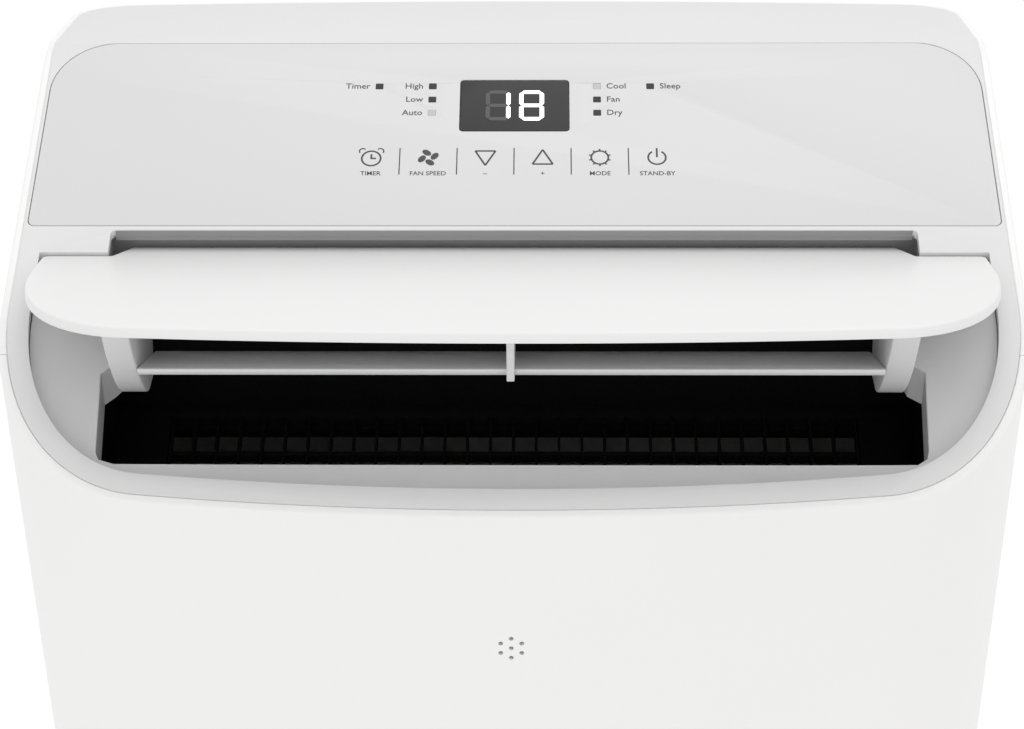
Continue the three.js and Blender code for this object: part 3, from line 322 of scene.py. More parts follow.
# a lathed ring or solid about an axis along "X", "Y" or "Z" through centre; profile is (radius, along)
def lathe(name, profile, axis, centre, steps=48, closed=True):
    verts, faces = [], []
    count = len(profile)
    for i in range(steps):
        angle = 2 * math.pi * i / steps
        c, s = math.cos(angle), math.sin(angle)
        for radius, along in profile:
            place = {"X": (along, radius * c, radius * s), "Y": (radius * c, along, radius * s),
                     "Z": (radius * c, radius * s, along)}[axis]
            verts.append(Vector(place) + Vector(centre))
    spans = count if closed else count - 1
    for i in range(steps):
        j = (i + 1) % steps
        for k in range(spans):
            n = (k + 1) % count
            faces.append([i * count + k, j * count + k, j * count + n, i * count + n])
    thing = makeObject(name, verts, faces)
    work = bmesh.new()
    work.from_mesh(thing.data)
    bmesh.ops.remove_doubles(work, verts=work.verts, dist=1e-7)
    bmesh.ops.dissolve_degenerate(work, edges=work.edges, dist=1e-7)
    bmesh.ops.recalc_face_normals(work, faces=work.faces)
    work.to_mesh(thing.data)
    work.free()
    return shadeByAngle(thing)


def joined(name, things):
    work = bmesh.new()
    for thing in things:
        work.from_mesh(thing.data)
    mesh = bpy.data.meshes.new(name)
    work.to_mesh(mesh)
    work.free()
    made = addObject(name, mesh)
    for thing in things:
        discard(thing)
    return shadeByAngle(made)


print("helpers ready")

# shared shader groups


def socketIn(group, name, kind, value=None):
    socket = group.interface.new_socket(name=name, in_out="INPUT", socket_type=kind)
    if value is not None:
        socket.default_value = value
    return socket


def socketOut(group, name, kind):
    group.interface.new_socket(name=name, in_out="OUTPUT", socket_type=kind)


def newShaderGroup(name):
    group = bpy.data.node_groups.new(name, "ShaderNodeTree")
    return group, group.nodes.new("NodeGroupInput"), group.nodes.new("NodeGroupOutput")


# fine moulded or cast grain, as a height
def grainGroup():
    group, start, end = newShaderGroup("mouldGrain")
    socketIn(group, "Fine Scale", "NodeSocketFloat", 1500)
    socketIn(group, "Broad Scale", "NodeSocketFloat", 40)
    socketIn(group, "Broad Share", "NodeSocketFloat", 0.3)
    socketOut(group, "Height", "NodeSocketFloat")
    socketOut(group, "Speckle", "NodeSocketFloat")
    place = group.nodes.new("ShaderNodeTexCoord")
    fine = group.nodes.new("ShaderNodeTexNoise")
    fine.inputs["Detail"].default_value = 2
    broad = group.nodes.new("ShaderNodeTexNoise")
    broad.inputs["Detail"].default_value = 3
    blend = group.nodes.new("ShaderNodeMix")
    blend.data_type = "FLOAT"
    link = group.links.new
    link(place.outputs["Object"], fine.inputs["Vector"])
    link(place.outputs["Object"], broad.inputs["Vector"])
    link(start.outputs["Fine Scale"], fine.inputs["Scale"])
    link(start.outputs["Broad Scale"], broad.inputs["Scale"])
    link(start.outputs["Broad Share"], blend.inputs["Factor"])
    link(fine.outputs["Fac"], blend.inputs["A"])
    link(broad.outputs["Fac"], blend.inputs["B"])
    link(blend.outputs["Result"], end.inputs["Height"])
    link(fine.outputs["Fac"], end.inputs["Speckle"])
    return group


# slow drift between two tones, with a lighter line worn along edges
def toneGroup():
    group, start, end = newShaderGroup("toneAndWear")
    socketIn(group, "Tone", "NodeSocketColor", (0.8, 0.8, 0.8, 1))
    socketIn(group, "Second Tone", "NodeSocketColor", (0.7, 0.7, 0.7, 1))
    socketIn(group, "Edge Tone", "NodeSocketColor", (0.9, 0.9, 0.9, 1))
    socketIn(group, "Drift Scale", "NodeSocketFloat", 9)
    socketIn(group, "Edge Width", "NodeSocketFloat", 0.0006)
    socketIn(group, "Edge Amount", "NodeSocketFloat", 0.4)
    socketOut(group, "Color", "NodeSocketColor")
    socketOut(group, "Edge", "NodeSocketFloat")
    place = group.nodes.new("ShaderNodeTexCoord")
    drift = group.nodes.new("ShaderNodeTexNoise")
    drift.inputs["Detail"].default_value = 4
    tones = group.nodes.new("ShaderNodeMix")
    tones.data_type = "RGBA"
    bevel = group.nodes.new("ShaderNodeBevel")
    bevel.samples = 4
    geometry = group.nodes.new("ShaderNodeNewGeometry")
    dot = group.nodes.new("ShaderNodeVectorMath")
    dot.operation = "DOT_PRODUCT"
    sharp = group.nodes.new("ShaderNodeMapRange")
    sharp.inputs["From Min"].default_value = 0.995
    sharp.inputs["From Max"].default_value = 0.85
    scaled = group.nodes.new("ShaderNodeMath")
    scaled.operation = "MULTIPLY"
    worn = group.nodes.new("ShaderNodeMix")
    worn.data_type = "RGBA"
    link = group.links.new
    link(place.outputs["Object"], drift.inputs["Vector"])
    link(start.outputs["Drift Scale"], drift.inputs["Scale"])
    link(drift.outputs["Fac"], tones.inputs["Factor"])
    link(start.outputs["Tone"], tones.inputs["A"])
    link(start.outputs["Second Tone"], tones.inputs["B"])
    link(start.outputs["Edge Width"], bevel.inputs["Radius"])
    link(bevel.outputs["Normal"], dot.inputs[0])
    link(geometry.outputs["Normal"], dot.inputs[1])
    link(dot.outputs["Value"], sharp.inputs["Value"])
    link(sharp.outputs["Result"], scaled.inputs[0])
    link(start.outputs["Edge Amount"], scaled.inputs[1])
    link(scaled.outputs["Value"], worn.inputs["Factor"])
    link(tones.outputs["Result"], worn.inputs["A"])
    link(start.outputs["Edge Tone"], worn.inputs["B"])
    link(worn.outputs["Result"], end.inputs["Color"])
    link(sharp.outputs["Result"], end.inputs["Edge"])
    return group


mouldGrain = grainGroup()
toneAndWear = toneGroup()


def grey(level):
    c = level / 255
    linear = c / 12.92 if c <= 0.04045 else ((c + 0.055) / 1.055) ** 2.4
    return (linear, linear, linear, 1)


def tinted(level, warm):
    r, g, b, a = grey(level)
    return (r * (1 + warm), g, b * (1 - warm), a)


def setInputs(node, values):
    for socket, value in values.items():
        node.inputs[socket].default_value = value


def makeFinish(name, look):
    material = bpy.data.materials.new(name)
    material.use_nodes = True
    tree = material.node_tree
    shader = tree.nodes["Principled BSDF"]
    setInputs(shader, {"Metallic": look.get("metal", 0.0), "IOR": 1.46,
                       "Specular IOR Level": look.get("specular", 0.5)})
    tone = tree.nodes.new("ShaderNodeGroup")
    tone.node_tree = toneAndWear
    setInputs(tone, {"Tone": look["tone"], "Second Tone": look["second"], "Edge Tone": look["edge"],
                     "Drift Scale": look.get("drift", 9), "Edge Width": 0.0006,
                     "Edge Amount": look.get("edgeAmount", 0.35)})
    grain = tree.nodes.new("ShaderNodeGroup")
    grain.node_tree = mouldGrain
    setInputs(grain, {"Fine Scale": look.get("fine", 1500), "Broad Scale": 40, "Broad Share": 0.3})
    rough = tree.nodes.new("ShaderNodeMapRange")
    low, high = look["rough"]
    setInputs(rough, {"From Min": 0.3, "From Max": 0.7, "To Min": low, "To Max": high})
    bump = tree.nodes.new("ShaderNodeBump")
    setInputs(bump, {"Strength": look.get("bump", 0.15), "Distance": 0.0001})
    link = tree.links.new
    link(tone.outputs["Color"], shader.inputs["Base Color"])
    link(grain.outputs["Speckle"], rough.inputs["Value"])
    link(rough.outputs["Result"], shader.inputs["Roughness"])
    link(grain.outputs["Height"], bump.inputs["Height"])
    link(bump.outputs["Normal"], shader.inputs["Normal"])
    if look.get("glow"):
        shader.inputs["Emission Strength"].default_value = look["glow"]
        link(tone.outputs["Color"], shader.inputs["Emission Color"])
    return material


def plasticLook(level, spread=4, warm=0.0, **more):
    look = {"tone": tinted(level, warm), "second": tinted(level - spread, warm),
            "edge": tinted(min(level + 9, 253), warm), "rough": (0.4, 0.52)}
    look.update(more)
    return look


finishes = {
    "casing_white": plasticLook(239, 3, 0.004, rough=(0.36, 0.48), bump=0.12, fine=1100),
    "bezel_grey": plasticLook(219, 3, rough=(0.42, 0.54), bump=0.14, fine=1100),
    "panel_grey": plasticLook(213, 2, rough=(0.34, 0.44), bump=0.06, fine=1600),
    "flap_white": plasticLook(230, 3, 0.002, rough=(0.36, 0.46), bump=0.1, fine=1300),
    "bowl_grey": plasticLook(216, 4, rough=(0.46, 0.6), bump=0.14, fine=1100),
    "smoked_window": plasticLook(58, 3, rough=(0.2, 0.28), bump=0.02, fine=900, specular=0.2,
                                 edgeAmount=0.15),
    "outlet_black": plasticLook(13, 3, rough=(0.6, 0.8), bump=0.25, fine=700, specular=0.15,
                                edge=grey(20)),
    "dark_plastic": plasticLook(46, 6, rough=(0.5, 0.66), bump=0.25, fine=800, edge=grey(74)),
    "inner_white": plasticLook(212, 8, 0.01, rough=(0.6, 0.8), bump=0.3, fine=500),
    "board_green": {"tone": (0.012, 0.09, 0.035, 1), "second": (0.02, 0.13, 0.05, 1),
                    "edge": (0.3, 0.28, 0.12, 1), "rough": (0.3, 0.5), "bump": 0.2, "fine": 900},
    "steel": {"tone": grey(176), "second": grey(150), "edge": grey(205), "rough": (0.28, 0.46), "metal": 1.0,
              "bump": 0.12, "fine": 900, "drift": 30},
    "fin_aluminium": {"tone": grey(200), "second": grey(178), "edge": grey(225), "rough": (0.3, 0.5),
                      "metal": 1.0, "bump": 0.15, "fine": 700, "drift": 22},
    "copper": {"tone": (0.60, 0.26, 0.13, 1), "second": (0.42, 0.17, 0.09, 1), "edge": (0.72, 0.36, 0.2, 1),
               "rough": (0.25, 0.45), "metal": 1.0, "bump": 0.12, "fine": 500, "drift": 26},
    "compressor_paint": plasticLook(34, 8, rough=(0.35, 0.55), bump=0.3, fine=600, edge=grey(70)),
    "black_rubber": plasticLook(36, 8, rough=(0.7, 0.88), bump=0.4, fine=1200, edge=grey(58)),
}
materials = {name: makeFinish(name, look) for name, look in finishes.items()}
extraFinishes = {
    "ink": plasticLook(72, 8, rough=(0.5, 0.6), bump=0.1, edgeAmount=0.0),
    "lamp_dark": plasticLook(58, 6, rough=(0.3, 0.4), bump=0.03, specular=0.2),
    "lamp_lit": plasticLook(190, 12, rough=(0.3, 0.4), bump=0.03),
    "digit_lit": plasticLook(248, 3, rough=(0.3, 0.4), bump=0.02, glow=1.25),
    "digit_off": plasticLook(70, 4, rough=(0.2, 0.3), bump=0.02, edgeAmount=0.0),
    # painted shade: the hinge trough is darker than the bezel, standing in for the shadow under the flap
    "trough_grey": plasticLook(150, 6, rough=(0.55, 0.7), bump=0.15),
    # painted shade: the arms are darker than the flap's white, standing in for the shadow they sit in
    "arm_shade": plasticLook(208, 4, rough=(0.42, 0.54), bump=0.1),
    "collar_grey": plasticLook(70, 6, rough=(0.5, 0.62), bump=0.2),
}
for name, look in extraFinishes.items():
    materials[name] = makeFinish(name, look)


def dress(thing, finish):
    thing.data.materials.clear()
    thing.data.materials.append(materials[finish])
    return thing


# gives a finished piece its material and body, and hides the nodes it stands for
def place(thing, finish, bodyName, stands=(), slotName=None):
    dress(thing, finish)
    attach(thing, bodyName)
    if stands:
        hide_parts(*stands)
    return thing


for nodeName, node in nodes.items():
    dress(node, slotOfNode[nodeName])
print("finishes made")

# geometry node trees for whatever repeats


# a tree with a geometry in and out, and one input for each (key, name, kind)
def newGeometryTree(name, inputs):
    tree = bpy.data.node_groups.new(name, "GeometryNodeTree")
    newSocket = tree.interface.new_socket
    newSocket(name="Geometry", in_out="INPUT", socket_type="NodeSocketGeometry")
    sockets = {key: newSocket(name=label, in_out="INPUT", socket_type="NodeSocket" + kind)
               for key, label, kind in inputs}
    newSocket(name="Geometry", in_out="OUTPUT", socket_type="NodeSocketGeometry")
    identifiers = {key: socket.identifier for key, socket in sockets.items()}
    return tree, tree.nodes.new("NodeGroupInput"), tree.nodes.new("NodeGroupOutput"), identifiers


# copies a pattern piece along a line
def rowTree():
    tree, start, end, identifiers = newGeometryTree("rowOfPieces", (
        ("pattern", "Pattern", "Object"), ("count", "Count", "Int"), ("start", "Start", "Vector"),
        ("step", "Step", "Vector"), ("material", "Material", "Material")))
    line = tree.nodes.new("GeometryNodeMeshLine")
    line.mode = "OFFSET"
    info = tree.nodes.new("GeometryNodeObjectInfo")
    instance = tree.nodes.new("GeometryNodeInstanceOnPoints")
    real = tree.nodes.new("GeometryNodeRealizeInstances")
    paint = tree.nodes.new("GeometryNodeSetMaterial")
    link = tree.links.new
    link(start.outputs["Count"], line.inputs["Count"])
    link(start.outputs["Start"], line.inputs["Start Location"])
    link(start.outputs["Step"], line.inputs["Offset"])
    link(start.outputs["Pattern"], info.inputs["Object"])
    link(line.outputs["Mesh"], instance.inputs["Points"])
    link(info.outputs["Geometry"], instance.inputs["Instance"])
    link(instance.outputs["Instances"], real.inputs["Geometry"])
    link(real.outputs["Geometry"], paint.inputs["Geometry"])
    link(start.outputs["Material"], paint.inputs["Material"])
    link(paint.outputs["Geometry"], end.inputs["Geometry"])
    return tree, identifiers


# copies a pattern piece onto each point of a loose mesh
def scatterTree():
    tree, start, end, identifiers = newGeometryTree("pieceOnPoints", (
        ("pattern", "Pattern", "Object"), ("turn", "Turn Spread", "Vector"), ("seed", "Seed", "Int"),
        ("material", "Material", "Material")))
    info = tree.nodes.new("GeometryNodeObjectInfo")
    spread = tree.nodes.new("FunctionNodeRandomValue")
    spread.data_type = "FLOAT_VECTOR"
    instance = tree.nodes.new("GeometryNodeInstanceOnPoints")
    real = tree.nodes.new("GeometryNodeRealizeInstances")
    paint = tree.nodes.new("GeometryNodeSetMaterial")
    link = tree.links.new
    link(start.outputs["Geometry"], instance.inputs["Points"])
    link(start.outputs["Pattern"], info.inputs["Object"])
    link(info.outputs["Geometry"], instance.inputs["Instance"])
    link(start.outputs["Turn Spread"], spread.inputs[1])
    link(start.outputs["Seed"], spread.inputs["Seed"])
    link(spread.outputs[0], instance.inputs["Rotation"])
    link(instance.outputs["Instances"], real.inputs["Geometry"])
    link(real.outputs["Geometry"], paint.inputs["Geometry"])
    link(start.outputs["Material"], paint.inputs["Material"])
    link(paint.outputs["Geometry"], end.inputs["Geometry"])
    return tree, identifiers


rowOfPieces, rowInputs = rowTree()
pieceOnPoints, scatterInputs = scatterTree()


def grow(carrier, tree, values):
    modifier = carrier.modifiers.new("repeat", "NODES")
    modifier.node_group = tree
    for identifier, value in values.items():
        modifier[identifier] = value
    settle(carrier)
    return carrier


def rowOf(name, pattern, count, start, step, finish):
    carrier = makeObject(name, [(0, 0, 0)], [])
    grow(carrier, rowOfPieces, {rowInputs["pattern"]: pattern, rowInputs["count"]: count,
                                rowInputs["start"]: start, rowInputs["step"]: step,
                                rowInputs["material"]: materials[finish]})
    discard(pattern)
    return shadeByAngle(carrier)


def onPoints(name, pattern, points, finish, turn=(0, 0, 0), seed=3):
    carrier = makeObject(name, points, [])
    grow(carrier, pieceOnPoints, {scatterInputs["pattern"]: pattern, scatterInputs["turn"]: turn,
                                  scatterInputs["seed"]: seed, scatterInputs["material"]: materials[finish]})
    discard(pattern)
    return shadeByAngle(carrier)


# front and rear casing
casing = {"edge": 1.3 * mm, "innerEdge": 0.5 * mm, "foot": 0.8 * mm}


# a wall that follows the plan all round; each profile entry is an inset, and a height below the top or None
def wallRing(name):
    wall, edge, inner, foot = body["wall"], casing["edge"], casing["innerEdge"], casing["foot"]
    profile = [(foot, None, 0), (0, None, foot)]
    for i in range(5):
        angle = math.radians(90 * i / 4)
        profile.append((edge * (1 - math.cos(angle)), "top", edge * (1 - math.sin(angle))))
    profile += [(wall - inner, "top", 0), (wall, "top", inner), (wall, None, 0)]
    loops = []
    for inset, kind, offset in profile:
        loops.append([(x, y, topZ(y) - offset if kind else body["bottom"] + offset)
                      for x, y in planLoop(inset)])
    return outward(makeObject(name, [p for loop in loops for p in loop], skinFaces(loops)))


frontCasing = wallRing("front_shell")
cut(frontCasing, block("behindSeam", -0.4, 0.4, body["seam"] - body["gap"] / 2, 0.4, -0.1, 1))
receiver = {"height": body["ridge"] - 164 * mm, "ring": 5 * mm, "hole": 1.05 * mm}
holes = []
for i in range(7):
    angle = math.radians(60 * i + 30)
    out = receiver["ring"] if i < 6 else 0
    outline = ring(out * math.cos(angle), receiver["height"] + out * math.sin(angle), receiver["hole"], 20)
    holes.append(pushY("hole", outline, body["frontY"] - 3 * mm, body["frontY"] + 8 * mm))
cut(frontCasing, joined("holes", holes))
shadeByAngle(frontCasing, 28)
place(frontCasing, "casing_white", "cabinet", ["front_casing"])
print("front casing")

upperLow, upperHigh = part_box("upper_intake_grille")
lowerLow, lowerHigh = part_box("lower_intake_grille")
collarLow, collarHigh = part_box("exhaust_collar")
handles = {}
for side in ("left", "right"):
    handles[side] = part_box("side_handle_" + side)


def rearBar(centre, radius, sides=64):
    return pushY("bar", ring(centre[0], centre[1], radius, sides), body["rearY"] - 22 * mm,
                 body["rearY"] + 8 * mm)


def boxCentre(nodeName):
    low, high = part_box(nodeName)
    return ((low.x + high.x) / 2, (low.z + high.z) / 2), (high.x - low.x) / 2


collarCentre, collarRadius = boxCentre("exhaust_collar")
rearCasing = wallRing("rear_shell")
cut(rearCasing, block("beforeSeam", -0.4, 0.4, -0.4, body["seam"] + body["gap"] / 2, -0.1, 1))
gap = body["gap"]
tools = []
for low, high in ((upperLow, upperHigh), (lowerLow, lowerHigh)):
    outline = blockOutline(low.x - gap, high.x + gap, low.z - gap, high.z + gap, 2 * mm)
    tools.append(pushY("open", outline, body["rearY"] - 22 * mm, body["rearY"] + 8 * mm))
tools.append(rearBar(collarCentre, collarRadius + gap, 96))
for nodeName in ("drain_cap_upper", "drain_cap_lower", "cord_gland"):
    centre, radius = boxCentre(nodeName)
    tools.append(rearBar(centre, radius + gap, 40))
for side, sign in (("left", -1), ("right", 1)):
    low, high = handles[side]
    x0, x1 = sorted((sign * (body["width"] / 2 + 5 * mm), sign * (body["width"] / 2 - 20 * mm)))
    tools.append(pushX("grip", blockOutline(low.y - gap, high.y + gap, low.z - gap, high.z + gap, 6 * mm),
                       x0, x1))
cut(rearCasing, joined("cuts", tools))
shadeByAngle(rearCasing, 28)
place(rearCasing, "casing_white", "cabinet", ["rear_casing"])
print("rear casing")

# side grips: a pocket with rounded corners and a soft lip
for side, sign in (("left", -1), ("right", 1)):
    low, high = handles[side]
    deep = sign * min(abs(low.x), abs(high.x))
    rim = sign * body["width"] / 2
    wall = 1.8 * mm
    outer = blockOutline(low.y, high.y, low.z, high.z, 6 * mm)
    lip = blockOutline(low.y + 0.5 * mm, high.y - 0.5 * mm, low.z + 0.5 * mm, high.z - 0.5 * mm, 5.5 * mm)
    inner = blockOutline(low.y + wall, high.y - wall, low.z + wall, high.z - wall, 4.2 * mm)
    floorInner = blockOutline(low.y + wall + 2 * mm, high.y - wall - 2 * mm, low.z + wall + 2 * mm,
                              high.z - wall - 2 * mm, 2.2 * mm)
    inward = -sign
    loops = [[(deep, y, z) for y, z in outer],
             [(rim + inward * 0.5 * mm, y, z) for y, z in outer],
             [(rim, y, z) for y, z in lip],
             [(rim + inward * 0.8 * mm, y, z) for y, z in inner],
             [(deep - inward * 3.5 * mm, y, z) for y, z in inner],
             [(deep - inward * wall, y, z) for y, z in floorInner]]
    count = len(outer)
    verts = [p for loop in loops for p in loop]
    faces = skinFaces(loops, closed=False)
    faces += [list(range(count)), [(len(loops) - 1) * count + k for k in range(count)]]
    grip = outward(makeObject("grip_pocket_" + side, verts, faces))
    shadeByAngle(grip, 50)
    place(grip, "casing_white", "cabinet", ["side_handle_" + side])
print("grips")

# top cover: bezel round the outlet, ledge, rim round the panel
cover = {"thickness": 3.5 * mm, "edge": 0.7 * mm, "rim": 1.0 * mm, "topCorner": 29 * mm, "lowCorner": 3 * mm}
notchHalf = body["width"] / 2 - 42 * mm
notchRearY = panelLowY - 2.5 * mm * math.cos(slope)
panelHalf = body["width"] / 2 - coverInset - cover["rim"] - gap


def panelOutline(growBy):
    small = cover["lowCorner"] + growBy
    large = cover["topCorner"] + growBy
    half = panelHalf + growBy
    points = []
    for cx, cy, radius, start, steps in (
            (half - small, small - growBy, small, -90, 8),
            (half - large, panelLength + growBy - large, large, 0, 24),
            (-half + large, panelLength + growBy - large, large, 90, 24),
            (-half + small, small - growBy, small, 180, 8)):
        points += arcAbout(cx, cy, radius, start, 90, steps)
    return points


def topWedge(drop, name="wedge"):
    reach = body["width"]
    low = body["ridge"] - 0.35
    return pushX(name, [(-reach, low), (reach, low), (reach, topZ(reach) - drop),
                        (ridgeY, body["ridge"] - drop), (-reach, slopeZ(-reach) - drop)], -reach, reach)


display = {"width": 49 * mm, "height": 30.4 * mm, "centre": 69.1 * mm, "corner": 1.6 * mm}
lamps = {"size": 3 * mm, "pitch": 7.95 * mm, "topRow": 80.6 * mm, "inner": 37.2 * mm, "outer": 61.4 * mm}


def windowOutline(growBy):
    w, h = display["width"] / 2 + growBy, display["height"] / 2 + growBy
    return blockOutline(-w, w, display["centre"] - h, display["centre"] + h, display["corner"] + growBy, 5)


def lampPlaces(sign):
    rows = [(sign * lamps["outer"], lamps["topRow"])]
    rows += [(sign * lamps["inner"], lamps["topRow"] - i * lamps["pitch"]) for i in range(3)]
    return rows


def lampOutline(placeXS, growBy=0.0):
    half = lamps["size"] / 2 + growBy
    return blockOutline(placeXS[0] - half, placeXS[0] + half, placeXS[1] - half, placeXS[1] + half, 0.4 * mm, 3)


topCover = prism("bezel_cover", planLoop(coverInset - 0.28 * mm), body["ridge"] - 0.3, body["ridge"] + 5 * mm)
cut(topCover, topWedge(0), operation="INTERSECT")
coverTools = [topWedge(cover["thickness"], "below"),
              prism("recess", planFront(recessInset, ledgeY), body["ridge"] - 0.3, body["ridge"] + 0.1),
              slabOnSlope("pocket", panelOutline(gap), -2.4 * mm, 40 * mm),
              prism("notch", blockOutline(-notchHalf, notchHalf, ledgeY - 20 * mm, notchRearY, 2.3 * mm),
                    body["ridge"] - 0.3, body["ridge"] + 0.1),
              slabOnSlope("windowHole", windowOutline(-0.8 * mm), -20 * mm, 10 * mm)]
for tool in coverTools:
    cut(topCover, tool)
for sign in (-1, 1):
    for lampXS in lampPlaces(sign):
        cut(topCover, slabOnSlope("lampHole", lampOutline(lampXS, 0.25 * mm), -20 * mm, 10 * mm))
softenEdges(topCover, cover["edge"], 3, 30)
print("top cover")

# the trough under the flap's tail, with its end plates
trough = {"wall": 2.2 * mm, "tail": 14.4 * mm, "clearance": 1.1 * mm}
flapRearZ = slopeZ(flapRearY)
hingeRadius = math.hypot(flapRearY + trough["tail"] * math.cos(slope) - pivot.y,
                         flapRearZ + trough["tail"] * math.sin(slope) - pivot.z) + trough["clearance"]
outerRadius = hingeRadius + trough["wall"]


troughOutline = arcAbout(pivot.y, pivot.z, outerRadius, -150, 200, 48)
troughOutline += arcAbout(pivot.y, pivot.z, hingeRadius, 50, -200, 48)
troughShell = pushX("hinge_trough", troughOutline, -notchHalf - trough["wall"], notchHalf + trough["wall"])
cut(troughShell, topWedge(2.6 * mm), operation="INTERSECT")
liningTop = slopeZ(notchRearY) - 0.35 * mm
lining = pushX("lining", blockOutline(notchRearY - 0.3 * mm, notchRearY + 0.1 * mm, liningTop - 4.5 * mm, liningTop),
               -notchHalf + 2 * mm, notchHalf - 2 * mm)
plates = [troughShell, lining]
for sign in (-1, 1):
    x = sign * (notchHalf + gap + trough["wall"] / 2)
    plate = pushX("plate", ring(pivot.y, pivot.z, outerRadius - 0.2 * mm, 72), x - trough["wall"] / 2,
                  x + trough["wall"] / 2)
    cut(plate, pushX("under", [(-0.3, slopeZ(-0.3) - 5.4 * mm), (0.3, slopeZ(0.3) - 5.4 * mm), (0.3, 0.3),
                               (-0.3, 0.3)], -0.3, 0.3), operation="INTERSECT")
    cut(plate, block("relief", -0.3, 0.3, -0.3, pivot.y + 5.9 * mm, pivot.z + 2.35 * mm, 0.9),
        pushX("bearing", ring(pivot.y, pivot.z, 1.95 * mm, 24), x - 0.01, x + 0.01))
    plates.append(plate)
hingeTrough = joined("hinge_trough_shell", plates)
# the trough and its lining get a darker grey as painted shade, for the shadow under the flap
place(hingeTrough, "trough_grey", "cabinet", slotName="bezel_grey")
place(topCover, "bezel_grey", "cabinet", ["top_cover"])
print("hinge trough")

# control panel with its window, lamps and printed marks
panel = slabOnSlope("panel_plate", panelOutline(-0.05 * mm), -2 * mm, 0)
cut(panel, slabOnSlope("windowHole", windowOutline(0.25 * mm), -3 * mm, 2 * mm))
for sign in (-1, 1):
    for lampXS in lampPlaces(sign):
        cut(panel, slabOnSlope("lampHole", lampOutline(lampXS, 0.25 * mm), -3 * mm, 2 * mm))
softenEdges(panel, 0.35 * mm, 2, 40)
place(panel, "panel_grey", "cabinet", ["control_panel"])

window = slabOnSlope("display_glass", windowOutline(0), -2 * mm, -0.05 * mm)
softenEdges(window, 0.25 * mm, 2, 40)
place(window, "smoked_window", "cabinet", ["display_window"])

litLamps = {(-1, 3), (1, 1)}
lampLit, lampDark = [], []
for sign in (-1, 1):
    for i, lampXS in enumerate(lampPlaces(sign)):
        lamp = slabOnSlope("lamp", lampOutline(lampXS, 0.18 * mm), -5.0 * mm, -0.04 * mm)
        (lampLit if (sign, i) in litLamps else lampDark).append(lamp)
lampSet = joined("lamps_lit", lampLit)
place(lampSet, "lamp_lit", "cabinet", slotName="inner_white")
lampSet = joined("lamps_dark", lampDark)
place(lampSet, "lamp_dark", "cabinet", ["indicator_lens_left", "indicator_lens_right"], "inner_white")
print("panel")

marks = {"rise": 0.05 * mm, "stroke": 0.55 * mm}


def inkShape(outline):
    return slabOnSlope("mark", outline, 0.0, marks["rise"])


def inkArc(cx, cs, radius, stroke, first, last, steps=20):
    outer = arcAbout(cx, cs, radius + stroke / 2, first, last - first, steps)
    inner = arcAbout(cx, cs, radius - stroke / 2, first, last - first, steps)
    return inkShape(outer + inner[::-1])


def inkLine(x0, s0, x1, s1, stroke):
    direction = Vector((x1 - x0, s1 - s0))
    side = Vector((-direction.y, direction.x)).normalized() * stroke / 2
    return inkShape([(x0 - side.x, s0 - side.y), (x1 - side.x, s1 - side.y), (x1 + side.x, s1 + side.y),
                     (x0 + side.x, s0 + side.y)])


def inkRing(cx, cs, radius, stroke, steps=28):
    return [inkArc(cx, cs, radius, stroke, start, start + 180, steps // 2) for start in (-90, 90)]


def inkTriangle(cx, cs, size, up, stroke):
    sign = 1 if up else -1
    tip = (cx, cs + sign * size * 0.5)
    left = (cx - size * 0.5, cs - sign * size * 0.42)
    right = (cx + size * 0.5, cs - sign * size * 0.42)
    return [inkLine(*tip, *left, stroke), inkLine(*left, *right, stroke), inkLine(*right, *tip, stroke)]


icon = {"row": 38.4 * mm, "size": 9 * mm, "places": [-63.3, -38, -12.7, 12.7, 38, 63.3], "stroke": 0.82 * mm,
        "dividers": [-50.7, -25.3, 0, 25.3, 50.7], "dividerLow": 28.6 * mm, "dividerHigh": 43.9 * mm,
        "dividerStroke": 0.5 * mm}
cs = icon["row"]
st = icon["stroke"]
inks = []
# timer clock with two bells
cx = icon["places"][0] * mm
low = cs - 0.5 * mm
inks += inkRing(cx, low, 4.2 * mm, st)
inks += [inkLine(cx, low - 0.3 * mm, cx, low + 2.4 * mm, st), inkLine(cx, low, cx + 2.1 * mm, low, st)]
inks += [inkArc(cx - 3.9 * mm, cs + 3.7 * mm, 1.5 * mm, st * 0.75, 40, 220, 10),
         inkArc(cx + 3.9 * mm, cs + 3.7 * mm, 1.5 * mm, st * 0.75, -40, 140, 10)]
# fan with four blades
cx = icon["places"][1] * mm
for i in range(4):
    start = math.radians(90 * i + 15)
    lean = start + math.radians(38)
    middle = (cx + 2.9 * mm * math.cos(start), cs + 2.9 * mm * math.sin(start))
    blade = []
    for k in range(18):
        a = math.radians(20 * k)
        long, wide = 2.25 * mm * math.cos(a), 1.45 * mm * math.sin(a)
        blade.append((middle[0] + long * math.cos(lean) - wide * math.sin(lean),
                      middle[1] + long * math.sin(lean) + wide * math.cos(lean)))
    inks.append(inkShape(blade))
inks += inkTriangle(icon["places"][2] * mm, cs, icon["size"], False, st)
inks += inkTriangle(icon["places"][3] * mm, cs, icon["size"], True, st)
# mode: a ring with short teeth
cx = icon["places"][4] * mm
inks += inkRing(cx, cs, 3.8 * mm, st)
for i in range(10):
    a = math.radians(36 * i + 18)
    inks.append(inkLine(cx + 3.9 * mm * math.cos(a), cs + 3.9 * mm * math.sin(a), cx + 5 * mm * math.cos(a),
                        cs + 5 * mm * math.sin(a), st * 0.8))
# power
cx = icon["places"][5] * mm
inks.append(inkArc(cx, cs, 3.9 * mm, st, 122, 418, 30))
inks.append(inkLine(cx, cs + 0.2 * mm, cx, cs + 5.4 * mm, st))
for x in icon["dividers"]:
    inks.append(inkLine(x * mm, icon["dividerLow"], x * mm, icon["dividerHigh"], icon["dividerStroke"]))
printed = joined("panel_marks", inks)
place(printed, "ink", "cabinet")


